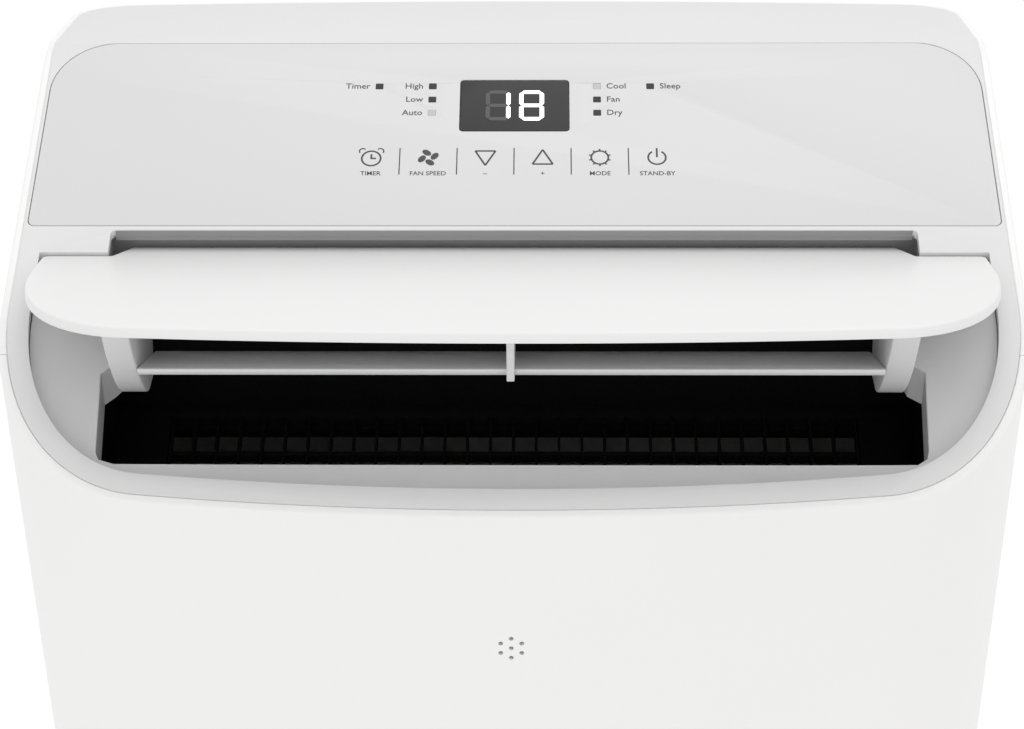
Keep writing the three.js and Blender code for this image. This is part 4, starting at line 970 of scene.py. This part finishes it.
def inkWord(text, x, s, height, align="CENTER"):
    curve = bpy.data.curves.new("word", "FONT")
    curve.body = text
    curve.size = height
    curve.align_x = align
    curve.align_y = "CENTER"
    curve.extrude = marks["rise"] / 2
    curve.offset = words["weight"]
    curve.resolution_u = 3
    thing = addObject("word", curve)
    mesh = evaluatedMesh(thing)
    bpy.data.objects.remove(thing)
    made = addObject("word", mesh)
    for v in mesh.vertices:
        v.co = slopePoint(x + v.co.x, s + v.co.y, v.co.z + marks["rise"] / 2)
    return outward(made)


words = {"height": 3.3 * mm, "lampHeight": 4.5 * mm, "row": 29.2 * mm, "lampGap": 4.2 * mm,
         "weight": 0.03 * mm}
iconWords = ("TIMER", "FAN SPEED", "–", "+", "MODE", "STAND-BY")
wordPieces = [inkWord(text, x * mm, words["row"], words["height"])
              for text, x in zip(iconWords, icon["places"])]
lampWords = {-1: ("Timer", "High", "Low", "Auto"), 1: ("Sleep", "Cool", "Fan", "Dry")}
for sign, texts in lampWords.items():
    for text, (x, s) in zip(texts, lampPlaces(sign)):
        wordPieces.append(inkWord(text, x + sign * words["lampGap"], s, words["lampHeight"],
                                  "LEFT" if sign > 0 else "RIGHT"))
wordSet = joined("panel_words", wordPieces)
place(wordSet, "ink", "cabinet")
print("printed marks")

# seven-bar digits: eighteen, with the unlit bars of the tens figure just showing
digits = {"height": 17.9 * mm, "width": 11.2 * mm, "bar": 1.95 * mm, "tens": -7.4 * mm, "units": 7.7 * mm}


def digitBar(cx, cs, along, length, width):
    half, t = length / 2, width / 2
    points = [(-half, 0), (-half + t, -t), (half - t, -t), (half, 0), (half - t, t), (-half + t, t)]
    if along == "V":
        points = [(-b, a) for a, b in points]
    return slabOnSlope("bar", [(cx + a, cs + b) for a, b in points], -0.05 * mm, 0.02 * mm)


def digitBars(cx, letters):
    h, w, b = digits["height"], digits["width"], digits["bar"]
    cs = display["centre"]
    long, wide = h / 2 - b * 0.62, w - b * 1.25
    where = {"a": (0, h / 2 - b / 2, "H"), "g": (0, 0, "H"), "d": (0, -h / 2 + b / 2, "H"),
             "f": (-w / 2 + b / 2, h / 4 - b / 4, "V"), "b": (w / 2 - b / 2, h / 4 - b / 4, "V"),
             "e": (-w / 2 + b / 2, -h / 4 + b / 4, "V"), "c": (w / 2 - b / 2, -h / 4 + b / 4, "V")}
    return [digitBar(cx + where[k][0], cs + where[k][1], where[k][2], long if where[k][2] == "V" else wide, b)
            for k in letters]


lit = joined("digits_lit", digitBars(digits["units"], "abcdefg") + digitBars(digits["tens"], "bc"))
place(lit, "digit_lit", "cabinet")
off = joined("digits_off", digitBars(digits["tens"], "adefg"))
place(off, "digit_off", "cabinet")
print("display")

# outlet bowl
openingFrontY = body["frontY"] + 31.2 * mm
bowl = {"halfWidth": notchHalf - 2.2 * mm, "rearHalfWidth": notchHalf - 9.5 * mm, "flare": 2.3 * mm,
        "shoulder": 46.8 * mm, "length": 78.8 * mm, "lip": 5.2 * mm, "depth": 9 * mm, "wall": 2.2 * mm, "skirt": 16 * mm,
        "corner": 6 * mm, "around": 300, "rings": 12}
openingRearY = openingFrontY + bowl["length"]


def openingOutline(growBy):
    front = openingFrontY - growBy
    shoulder = openingFrontY + bowl["shoulder"]
    wide = bowl["halfWidth"] + growBy
    narrow = bowl["rearHalfWidth"] + growBy
    radius = bowl["corner"] + growBy
    right = arcAbout(wide - bowl["flare"] - radius, front + radius, radius, -90, 90, 10)
    right += [(wide, shoulder - 4 * mm + growBy / 2), (narrow, shoulder + growBy / 2),
              (narrow, openingRearY + growBy)]
    return right + mirrored(right)


def rayHit(points, cx, cy, angle):
    dx, dy = math.cos(angle), math.sin(angle)
    best = None
    for i, (ax, ay) in enumerate(points):
        bx, by = points[(i + 1) % len(points)]
        ex, ey = bx - ax, by - ay
        det = ex * dy - ey * dx
        if abs(det) < 1e-12:
            continue
        t = (ex * (ay - cy) - ey * (ax - cx)) / det
        u = (dx * (ay - cy) - dy * (ax - cx)) / det
        if t > 0 and -1e-6 <= u <= 1 + 1e-6 and (best is None or t < best):
            best = t
    return (cx + best * dx, cy + best * dy)


def outletBowl():
    centreY = openingFrontY + bowl["shoulder"] - 3 * mm
    rearLimit = openingRearY + 8 * mm
    rim = [(x, min(y, rearLimit)) for x, y in planFront(recessInset + 0.06 * mm, rearLimit)]
    opening = openingOutline(0)
    throat = openingOutline(bowl["wall"])
    angles = [2 * math.pi * k / bowl["around"] + 0.013 for k in range(bowl["around"])]
    rimHits = [rayHit(rim, 0, centreY, a) for a in angles]
    innerHits = {id(o): [rayHit(o, 0, centreY, a) for a in angles] for o in (opening, throat)}

    def loop(blend, outline, drop):
        points = []
        for (ax, ay), (bx, by) in zip(rimHits, innerHits[id(outline)]):
            y = ay + (by - ay) * blend
            points.append((ax + (bx - ax) * blend, y, slopeZ(y) - drop))
        return points

    def dish(blend):
        return bowl["lip"] + 1 * mm + (bowl["depth"] - bowl["lip"] - 1 * mm) * math.sin(blend * math.pi / 2)

    loops = [loop(0, opening, bowl["lip"])]
    for i in range(1, bowl["rings"] + 1):
        blend = i / bowl["rings"]
        soft = min(1.0, blend / 0.16)
        loops.append(loop(blend, opening, dish(blend) - 1 * mm * (1 - soft)))
    lip = loops.pop()
    loops.append(loop(0.985, opening, bowl["depth"]))
    loops.append([(x, y, z - 0.35 * mm) for x, y, z in lip])
    loops.append(loop(1, opening, bowl["depth"] + 1.2 * mm))
    loops += [loop(1, opening, bowl["depth"] + bowl["skirt"]), loop(1, throat, bowl["depth"] + bowl["skirt"]),
              loop(1, throat, dish(1) + bowl["wall"] + 0.4 * mm),
              loop(0.4, throat, dish(0.4) + bowl["wall"] + 0.4 * mm),
              loop(0, throat, bowl["lip"] + bowl["wall"] + 3 * mm)]
    made = outward(makeObject("outlet_dish", [p for one in loops for p in one], skinFaces(loops)))
    cut(made, pushX("hingeRoom", ring(pivot.y, pivot.z, outerRadius + gap, 72), -notchHalf - 12 * mm,
                    notchHalf + 12 * mm),
        block("behind", -0.3, 0.3, openingRearY - 2 * mm, 0.3, 0.3, 0.9))
    return shadeByAngle(made, 30)


place(outletBowl(), "bowl_grey", "cabinet", ["outlet_bowl"])
print("outlet bowl")

# outlet guard: a frame, a cross bar and a row of thin bars
guardLow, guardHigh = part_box("outlet_guard")
guard = {"bars": 31, "drop": 66 * mm, "thickness": 5 * mm, "barWidth": 1.1 * mm, "frame": 7 * mm}
guardPitch = 2 * (bowl["halfWidth"] - 22.3 * mm) / (guard["bars"] - 1)


def slopingBlock(name, x0, x1, y0, y1, drop0, drop1):
    return pushX(name, [(y0, slopeZ(y0) - drop1), (y1, slopeZ(y1) - drop1), (y1, slopeZ(y1) - drop0),
                        (y0, slopeZ(y0) - drop0)], x0, x1)


y0, y1 = guardLow.y, guardHigh.y
x1 = guardHigh.x
inner = guardPitch * (guard["bars"] - 1) / 2
low, high = guard["drop"], guard["drop"] + guard["thickness"]
crossY = (y0 + y1) / 2 + 18 * mm
frameParts = [slopingBlock("rail", -x1, x1, y0, y0 + guard["frame"], low, high),
              slopingBlock("rail", -x1, x1, y1 - guard["frame"], y1, low, high),
              slopingBlock("rail", -x1, -inner - 1 * mm, y0 + guard["frame"], y1 - guard["frame"], low, high),
              slopingBlock("rail", inner + 1 * mm, x1, y0 + guard["frame"], y1 - guard["frame"], low, high),
              slopingBlock("rail", -inner - 1 * mm, inner + 1 * mm, crossY - 1 * mm, crossY + 1 * mm,
                           low + 1 * mm, high)]
for part in frameParts:
    softenEdges(part, 0.3 * mm, 2)
guardFrame = joined("guard_frame", frameParts)
place(guardFrame, "outlet_black", "cabinet", ["outlet_guard"])
barPattern = slopingBlock("bar", -guard["barWidth"] / 2, guard["barWidth"] / 2, y0 + guard["frame"] - 1 * mm,
                          y1 - guard["frame"] + 1 * mm, low, high)
softenEdges(barPattern, 0.4 * mm, 2)
guardBars = rowOf("guard_bars", barPattern, guard["bars"], (-inner, 0, 0), (guardPitch, 0, 0), "outlet_black")
place(guardBars, "outlet_black", "cabinet")
print("outlet guard")

# louvre: flap, arms and blade, made shut where needed and turned up to rest
louvre = {"thickness": 4.2 * mm, "sink": 0.2 * mm, "gap": 1.5 * mm, "open": math.radians(37), "taper": 7 * mm,
          "edge": 0.9 * mm, "armThick": 11 * mm, "lug": 4.5 * mm, "lugThick": 5 * mm, "pin": 1.6 * mm,
          "bladeAhead": 61.2 * mm, "bladeDrop": 6.1 * mm, "chord": 43 * mm, "bladeThick": 2.4 * mm,
          "tilt": math.radians(-22), "rib": 3.2 * mm}


def turnUp(thing):
    turn = Matrix.Translation(pivot) @ Matrix.Rotation(-louvre["open"], 4, "X") @ Matrix.Translation(-pivot)
    thing.data.transform(turn)
    return thing


flapDepth = louvre["thickness"] / math.cos(slope)
flapInset = recessInset + louvre["gap"]
tabHalf = notchHalf - louvre["gap"]
tabRear = flapRearY + trough["tail"] * math.cos(slope)
earCorner = 3 * mm
flapFront = planFront(flapInset, flapRearY)
earX = body["width"] / 2 - flapInset
outline = flapFront[1:-1]
outline += arcAbout(earX - earCorner, flapRearY - earCorner, earCorner, 0, 90, 5)
outline += [(tabHalf, flapRearY), (tabHalf - louvre["taper"], tabRear),
            (-tabHalf + louvre["taper"], tabRear), (-tabHalf, flapRearY)]
outline += arcAbout(-earX + earCorner, flapRearY - earCorner, earCorner, 90, 90, 5)
flap = prism("flap_plate", outline, lambda y: slopeZ(y) - louvre["sink"] - flapDepth,
             lambda y: slopeZ(y) - louvre["sink"])
softenEdges(flap, louvre["edge"], 3, 40)
flapParts = [flap]
for sign in (-1, 1):
    x = sign * (notchHalf - 8 * mm)
    lug = pushX("lug", ring(pivot.y, pivot.z, louvre["lug"], 40), x - louvre["lugThick"] / 2,
                x + louvre["lugThick"] / 2)
    cut(lug, slopingBlock("web", x - louvre["lugThick"] / 2, x + louvre["lugThick"] / 2, pivot.y - 10 * mm,
                          pivot.y + 3 * mm, louvre["sink"] + flapDepth - 0.1 * mm, 9.6 * mm), operation="UNION")
    cut(lug, pushX("bore", ring(pivot.y, pivot.z, louvre["pin"] + 0.35 * mm, 24), x - 0.02, x + 0.02))
    shadeByAngle(lug)
    flapParts.append(lug)
flapPiece = turnUp(joined("louvre_cover_flap", flapParts))
place(flapPiece, "flap_white", "louvre", ["louvre_flap"])
print("flap")

bladeY = pivot.y - louvre["bladeAhead"]
bladeZ = pivot.z - louvre["bladeDrop"]
flapTilt = slope - louvre["open"]


def turnPoint(y, z):
    dy, dz = y - pivot.y, z - pivot.z
    c, s = math.cos(-louvre["open"]), math.sin(-louvre["open"])
    return (pivot.y + dy * c - dz * s, pivot.z + dy * s + dz * c)


def flapUnderside(y):
    edgeY, edgeZ = turnPoint(flapRearY, flapRearZ - louvre["sink"] - flapDepth)
    return edgeZ + (y - edgeY) * math.tan(flapTilt)


armOuter = bowl["halfWidth"] - 11.3 * mm
armInner = armOuter - louvre["armThick"]
for side, sign in (("left", -1), ("right", 1)):
    topFront, topRear = bladeY - 29 * mm, bladeY + 24 * mm
    endY, endZ = bladeY + 4 * mm, bladeZ - 2.4 * mm
    foot = endZ - 12 * mm
    start = (topFront, flapUnderside(topFront) - gap)
    profile = [start] + bezierPoints(start, (topFront + 3 * mm, start[1] - 16.4 * mm), (endY - 13.2 * mm, foot),
                                     (endY - 2 * mm, foot), 18)
    profile += archPoints((endY + 6 * mm, foot), (endY + 12 * mm, foot), (endY + 12 * mm, endZ - 6 * mm), 8)
    profile.append((topRear, flapUnderside(topRear) - gap))
    arm = pushX("flap_arm_" + side, profile, *sorted((sign * armInner, sign * armOuter)))
    softenEdges(arm, 0.8 * mm, 3, 40)
    # the arms take a darker finish than the flap as painted shade
    place(arm, "arm_shade", "louvre", ["louvre_arm_" + side], "flap_white")


def alongBlade(distance, lift):
    t = louvre["tilt"]
    return (bladeY - distance * math.cos(t) + lift * math.sin(t),
            bladeZ - distance * math.sin(t) + lift * math.cos(t))


c, t = louvre["chord"] / 2, louvre["bladeThick"] / 2
section = []
for i in range(9):
    a = math.radians(-90 + 180 * i / 8)
    section.append(alongBlade(c - 0.4 * mm + (t + 1 * mm) * math.cos(a) * 0.75, (t + 1 * mm) * math.sin(a)))
section += [alongBlade(c * 0.4, t + 0.75 * mm), alongBlade(0, t + 0.6 * mm), alongBlade(-c * 0.5, t + 0.3 * mm),
            alongBlade(-c + 0.5 * mm, t), alongBlade(-c, t * 0.4), alongBlade(-c, -t * 0.4),
            alongBlade(-c + 0.5 * mm, -t), alongBlade(0, -t)]
blade = pushX("blade_vane", section, -armInner + gap, armInner - gap)
shadeByAngle(blade, 40)
ribFront, ribRear = bladeY - 24 * mm, bladeY + 8 * mm
rib = pushX("rib", [(ribFront, bladeZ + 6 * mm), (ribFront, flapUnderside(ribFront) - gap),
                    (ribRear, flapUnderside(ribRear) - gap), (ribRear, bladeZ - 4 * mm)], -louvre["rib"] / 2,
            louvre["rib"] / 2)
softenEdges(rib, 0.4 * mm, 2)
bladePiece = joined("air_vane", [blade, rib])
place(bladePiece, "bowl_grey", "louvre", ["louvre_blade"])
print("louvre")

# rear intakes: a frame, uprights and tilted slats, with the filter screen behind the upper one
intake = {"rim": 8 * mm, "slat": 2.0 * mm, "slatDeep": 5.0 * mm, "pitch": 7.4 * mm, "upright": 5 * mm,
          "lean": math.radians(24)}


def rearSurfaceY(x, inset=0.0):
    half = body["width"] / 2 - body["rearRadius"]
    crown = body["rearCrown"]
    t = (x + half) / (2 * half)
    return body["rearY"] - inset - crown + 2 * t * (1 - t) * 2 * crown


# a strip that follows the crowned rear wall between two heights
def rearStrip(name, x0, x1, z0, z1, front, back, steps=24):
    outline = []
    for i in range(steps + 1):
        x = x0 + (x1 - x0) * i / steps
        outline.append((x, rearSurfaceY(x, front)))
    for i in range(steps, -1, -1):
        x = x0 + (x1 - x0) * i / steps
        outline.append((x, rearSurfaceY(x, back)))
    return prism(name, outline, z0, z1)


def intakeGrille(nodeName, label, bodyName):
    low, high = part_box(nodeName)
    wall, rim = body["wall"], intake["rim"]
    x0, x1, z0, z1 = low.x, high.x, low.z, high.z
    pieces = [rearStrip("rail", x0, x1, z0, z0 + rim, 0, wall),
              rearStrip("rail", x0, x1, z1 - rim, z1, 0, wall),
              rearStrip("stile", x0, x0 + rim, z0 + rim, z1 - rim, 0, wall, 2),
              rearStrip("stile", x1 - rim, x1, z0 + rim, z1 - rim, 0, wall, 2)]
    for i in (1, 2, 3):
        x = x0 + (x1 - x0) * i / 4
        pieces.append(rearStrip("upright", x - intake["upright"] / 2, x + intake["upright"] / 2, z0 + rim,
                                z1 - rim, 0.2 * mm, wall, 2))
    for piece in pieces:
        softenEdges(piece, 0.4 * mm, 2, 40)
    frameMade = joined(label + "_frame", pieces)
    place(frameMade, "casing_white", bodyName, [nodeName])
    opening = z1 - z0 - 2 * rim
    count = int(opening / intake["pitch"])
    step = opening / count
    pattern = rearStrip("slat", x0 + rim - 0.5 * mm, x1 - rim + 0.5 * mm, -intake["slat"] / 2, intake["slat"] / 2,
                        0.5 * mm, 0.5 * mm + intake["slatDeep"] * 0.62)
    for v in pattern.data.vertices:
        inside = rearSurfaceY(v.co.x, 0.5 * mm) - v.co.y
        v.co.z += inside * math.tan(intake["lean"])
    softenEdges(pattern, 0.5 * mm, 2, 40)
    slats = rowOf(label + "_slats", pattern, count, (0, 0, z0 + rim + step / 2), (0, 0, step), "casing_white")
    place(slats, "casing_white", bodyName)


intakeGrille("upper_intake_grille", "upper_intake", "filter_cover")
intakeGrille("lower_intake_grille", "lower_intake", "cabinet")

filterLow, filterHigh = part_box("air_filter")
screen = {"rim": 9 * mm, "columns": 4, "thread": 0.5 * mm, "pitch": 2.6 * mm}
fx0, fx1, fz0, fz1 = filterLow.x, filterHigh.x, filterLow.z, filterHigh.z
fy0, fy1 = filterLow.y, filterHigh.y
rim = screen["rim"]
bars = [block("rail", fx0, fx1, fy0, fy1, fz0, fz0 + rim), block("rail", fx0, fx1, fy0, fy1, fz1 - rim, fz1)]
columnWidth = (fx1 - fx0 - rim) / screen["columns"]
for i in range(screen["columns"] + 1):
    left = fx0 + i * columnWidth
    bars.append(block("stile", left, left + rim, fy0, fy1, fz0 + rim, fz1 - rim))
for bar in bars:
    softenEdges(bar, 0.5 * mm, 2, 40)
filterFrame = joined("filter_frame", bars)
place(filterFrame, "dark_plastic", "filter_cover", ["air_filter"])
middleY = (fy0 + fy1) / 2
threadHalf = screen["thread"] / 2
thread = block("thread", -threadHalf, threadHalf, middleY - threadHalf, middleY + threadHalf, fz0 + rim / 2,
               fz1 - rim / 2)
across = int((fx1 - fx0 - rim) / screen["pitch"])
upThreads = rowOf("screen_threads_up", thread, across, (fx0 + rim / 2 + screen["pitch"] / 2, 0, 0),
                  (screen["pitch"], 0, 0), "black_rubber")
place(upThreads, "black_rubber", "filter_cover")
thread = block("thread", fx0 + rim / 2, fx1 - rim / 2, middleY - threadHalf, middleY + threadHalf, -threadHalf,
               threadHalf)
upward = int((fz1 - fz0 - rim) / screen["pitch"])
acrossThreads = rowOf("screen_threads_across", thread, upward, (0, 0, fz0 + rim / 2 + screen["pitch"] / 2),
                      (0, 0, screen["pitch"]), "black_rubber")
place(acrossThreads, "black_rubber", "filter_cover")
print("intakes and filter")

# coils: fins in front of each fin block, end plates and bends stay as the frame has them
coil = {"half": 0.15 * mm, "pitch": 2.6 * mm, "sideRoom": 51.5 * mm, "stand": 2.2 * mm}
for nodeName, label in (("evaporator_coil", "evaporator"), ("condenser_coil", "condenser")):
    low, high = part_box(nodeName)
    finHalf = body["width"] / 2 - coil["sideRoom"]
    fin = block("fin", -coil["half"], coil["half"], high.y - 1 * mm, high.y + coil["stand"],
                low.z + 1 * mm, high.z - 1 * mm)
    count = int(2 * finHalf / coil["pitch"])
    fins = rowOf(label + "_fins", fin, count, (-finHalf + coil["pitch"] / 2, 0, 0), (coil["pitch"], 0, 0),
                 "fin_aluminium")
    place(fins, "fin_aluminium", "cabinet")

# exhaust collar with a rolled lip, a stop ring and three bayonet lugs
cx, cz = collarCentre
collar = {"bore": 63 * mm, "outer": collarRadius, "front": collarLow.y, "rear": collarHigh.y}
bore, outer, y0, y1 = collar["bore"], collar["outer"], collar["front"], collar["rear"]
profile = [(bore, y0 + 0.5 * mm), (bore + 0.5 * mm, y0), (outer - 0.6 * mm, y0), (outer, y0 + 0.6 * mm),
           (outer, y1 - 1.2 * mm), (outer - 0.35 * mm, y1 - 0.35 * mm), (outer - 1.2 * mm, y1),
           (bore + 1.4 * mm, y1), (bore + 0.4 * mm, y1 - 0.4 * mm), (bore, y1 - 1.4 * mm),
           (bore, y1 - 9 * mm), (bore - 1.2 * mm, y1 - 9.6 * mm), (bore - 1.2 * mm, y1 - 11 * mm),
           (bore, y1 - 11.6 * mm)]
collarRing = lathe("exhaust_ring", profile, "Y", (cx, 0, cz), 96)
lugPieces = [collarRing]
for i in range(3):
    a = math.radians(90 + 120 * i)
    lug = block("lug", -7 * mm, 7 * mm, y1 - 7 * mm, y1 - 3.5 * mm, bore - 2.6 * mm, bore + 1 * mm)
    softenEdges(lug, 0.5 * mm, 2)
    lug.data.transform(Matrix.Translation((cx, 0, cz)) @ Matrix.Rotation(a, 4, "Y"))
    lugPieces.append(lug)
collarPiece = joined("exhaust_ring_with_lugs", lugPieces)
place(collarPiece, "collar_grey", "cabinet", ["exhaust_collar"], "dark_plastic")
print("exhaust collar")

# drain caps and cord gland
for nodeName, bodyName in (("drain_cap_upper", "upper_cap"), ("drain_cap_lower", "lower_cap")):
    low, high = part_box(nodeName)
    (cx, cz), radius = boxCentre(nodeName)
    face = high.y
    root = face - (body["wall"] - gap)
    profile = [(0, low.y), (2.7 * mm, low.y), (3.3 * mm, low.y + 0.8 * mm), (2.9 * mm, low.y + 3 * mm),
               (3.3 * mm, low.y + 4 * mm), (3.3 * mm, root), (radius - 0.4 * mm, root), (radius, root + 0.4 * mm),
               (radius, face - 0.8 * mm), (radius - 0.8 * mm, face), (radius - 2.2 * mm, face),
               (radius - 2.8 * mm, face - 0.7 * mm), (4 * mm, face - 0.7 * mm), (3.2 * mm, face), (0, face)]
    capPiece = lathe(nodeName + "_plug", profile, "Y", (cx, 0, cz), 48, closed=False)
    place(capPiece, "black_rubber", bodyName, [nodeName])
low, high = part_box("cord_gland")
(cx, cz), radius = boxCentre("cord_gland")
profile = [(4 * mm, low.y), (radius - 1 * mm, low.y), (radius - 1 * mm, high.y - 4 * mm),
           (radius, high.y - 3.6 * mm), (radius, high.y - 0.8 * mm), (radius - 0.8 * mm, high.y), (6.2 * mm, high.y), (5 * mm, high.y - 1 * mm),
           (4 * mm, high.y - 2.5 * mm)]
glandPiece = lathe("gland_bushing", profile, "Y", (cx, 0, cz), 48)
place(glandPiece, "black_rubber", "cabinet", ["cord_gland"])

# screws: pan heads with a cross slot, sunk in the rear wall
screw = {"radius": 3.4 * mm, "height": 1.2 * mm, "slot": 0.8 * mm}


def screwHead():
    profile = [(0, 0), (screw["radius"], 0), (screw["radius"], 0.5 * mm), (screw["radius"] * 0.86, 0.95 * mm),
               (screw["radius"] * 0.5, screw["height"]), (0, screw["height"])]
    head = lathe("screw", profile, "Y", (0, 0, 0), 20, closed=False)
    slotHalf = screw["slot"] / 2
    cut(head, block("slot", -slotHalf, slotHalf, 0.4 * mm, 2 * mm, -1.9 * mm, 1.9 * mm),
        block("slot", -1.9 * mm, 1.9 * mm, 0.4 * mm, 2 * mm, -slotHalf, slotHalf))
    return head


screwPlaces = []
for x, z in ((-172, 90), (172, 90), (-172, 300), (172, 300), (-172, 470), (172, 470), (-172, 640), (172, 640),
             (-125, 430), (0, 345)):
    screwPlaces.append((x * mm, rearSurfaceY(x * mm, 0.9 * mm), z * mm))
screws = onPoints("rear_screws", screwHead(), screwPlaces, "steel")
place(screws, "steel", "cabinet")
print("caps, gland and screws")

# casters: bent forks, wheels with a soft tyre and a dished hub
for corner in ("front_left", "front_right", "rear_left", "rear_right"):
    low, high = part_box("caster_wheel_" + corner)
    centre = (low + high) / 2
    r = (high.z - low.z) / 2
    h = (high.x - low.x) / 2
    tyre = [(r - 5 * mm, -h + 0.6 * mm), (r - 4.4 * mm, -h), (r - 2.5 * mm, -h)]
    for i in range(5):
        a = math.radians(90 * i / 4)
        tyre.append((r - 2.4 * mm + 2.4 * mm * math.sin(a), -h + 2.4 * mm - 2.4 * mm * math.cos(a)))
    tyre += [(radius, -along) for radius, along in reversed(tyre)]
    tyreMade = lathe("tyre_" + corner, tyre, "X", centre, 56)
    place(tyreMade, "black_rubber", "wheel_" + corner, ["caster_wheel_" + corner])
    hub = [(1.95 * mm, -h + 0.2 * mm), (4.6 * mm, -h + 0.2 * mm), (5.2 * mm, -h + 1.4 * mm),
           (r - 6.6 * mm, -h + 2.4 * mm), (r - 5.6 * mm, -h + 0.7 * mm), (r - 5.05 * mm, -h + 0.7 * mm)]
    hub += [(radius, -along) for radius, along in reversed(hub)]
    hubMade = lathe("hub_" + corner, hub, "X", centre, 48)
    place(hubMade, "dark_plastic", "wheel_" + corner)
    forkNode = nodes["caster_fork_" + corner]
    fork = addObject("fork_" + corner + "_bracket", forkNode.data.copy())
    outward(fork, 1e-5)
    softenEdges(fork, 0.35 * mm, 2, 40)
    place(fork, "steel", "fork_" + corner, ["caster_fork_" + corner])
print("casters")

# stage, light and camera
stage = {"size": 14.0, "floorTone": (0.99, 0.99, 0.99, 1), "floorRough": 0.9, "sky": 0.9}
lights = {"key": {"where": (0.3, 0.6, 3.0), "target": (0, 0, 0.5), "size": 2.2, "power": 18.0},
          "front": {"where": (-0.6, -3.0, 1.6), "target": (0, 0, 0.4), "size": 2.0, "power": 6.0}}
view = {"lens": 79.1, "sensor": 36, "place": (0.013, -0.881, 1.146), "pan": 0.94, "tilt": 57.5, "roll": -0.45}

floorMesh = bpy.data.meshes.new("floor")
half = stage["size"] / 2
floorMesh.from_pydata([(-half, -half, 0), (half, -half, 0), (half, half, 0), (-half, half, 0)], [],
                      [[0, 1, 2, 3]])
addObject("floor", floorMesh)
floorFinish = bpy.data.materials.new("pale_floor")
floorFinish.use_nodes = True
setInputs(floorFinish.node_tree.nodes["Principled BSDF"],
          {"Base Color": stage["floorTone"], "Roughness": stage["floorRough"]})
floorMesh.materials.append(floorFinish)

world = bpy.data.worlds.new("studio")
world.use_nodes = True
setInputs(world.node_tree.nodes["Background"], {"Color": (1, 1, 1, 1), "Strength": stage["sky"]})
bpy.context.scene.world = world


def softLight(name, light):
    data = bpy.data.lights.new(name, "AREA")
    data.shape = "SQUARE"
    data.size = light["size"]
    data.energy = light["power"]
    thing = addObject(name, data)
    thing.location = light["where"]
    direction = Vector(light["target"]) - Vector(light["where"])
    thing.rotation_euler = direction.to_track_quat("-Z", "Y").to_euler()


for name, light in lights.items():
    softLight(name, light)

cameraData = bpy.data.cameras.new("camera")
cameraData.lens = view["lens"]
cameraData.sensor_width = view["sensor"]
camera = addObject("camera", cameraData)
turn = (Matrix.Rotation(math.radians(view["pan"]), 4, "Z") @ Matrix.Rotation(math.radians(view["tilt"]), 4, "X")
        @ Matrix.Rotation(math.radians(view["roll"]), 4, "Z"))
camera.matrix_world = Matrix.Translation(view["place"]) @ turn
bpy.context.scene.camera = camera
bpy.context.scene.view_settings.view_transform = "Standard"
print("stage and camera")
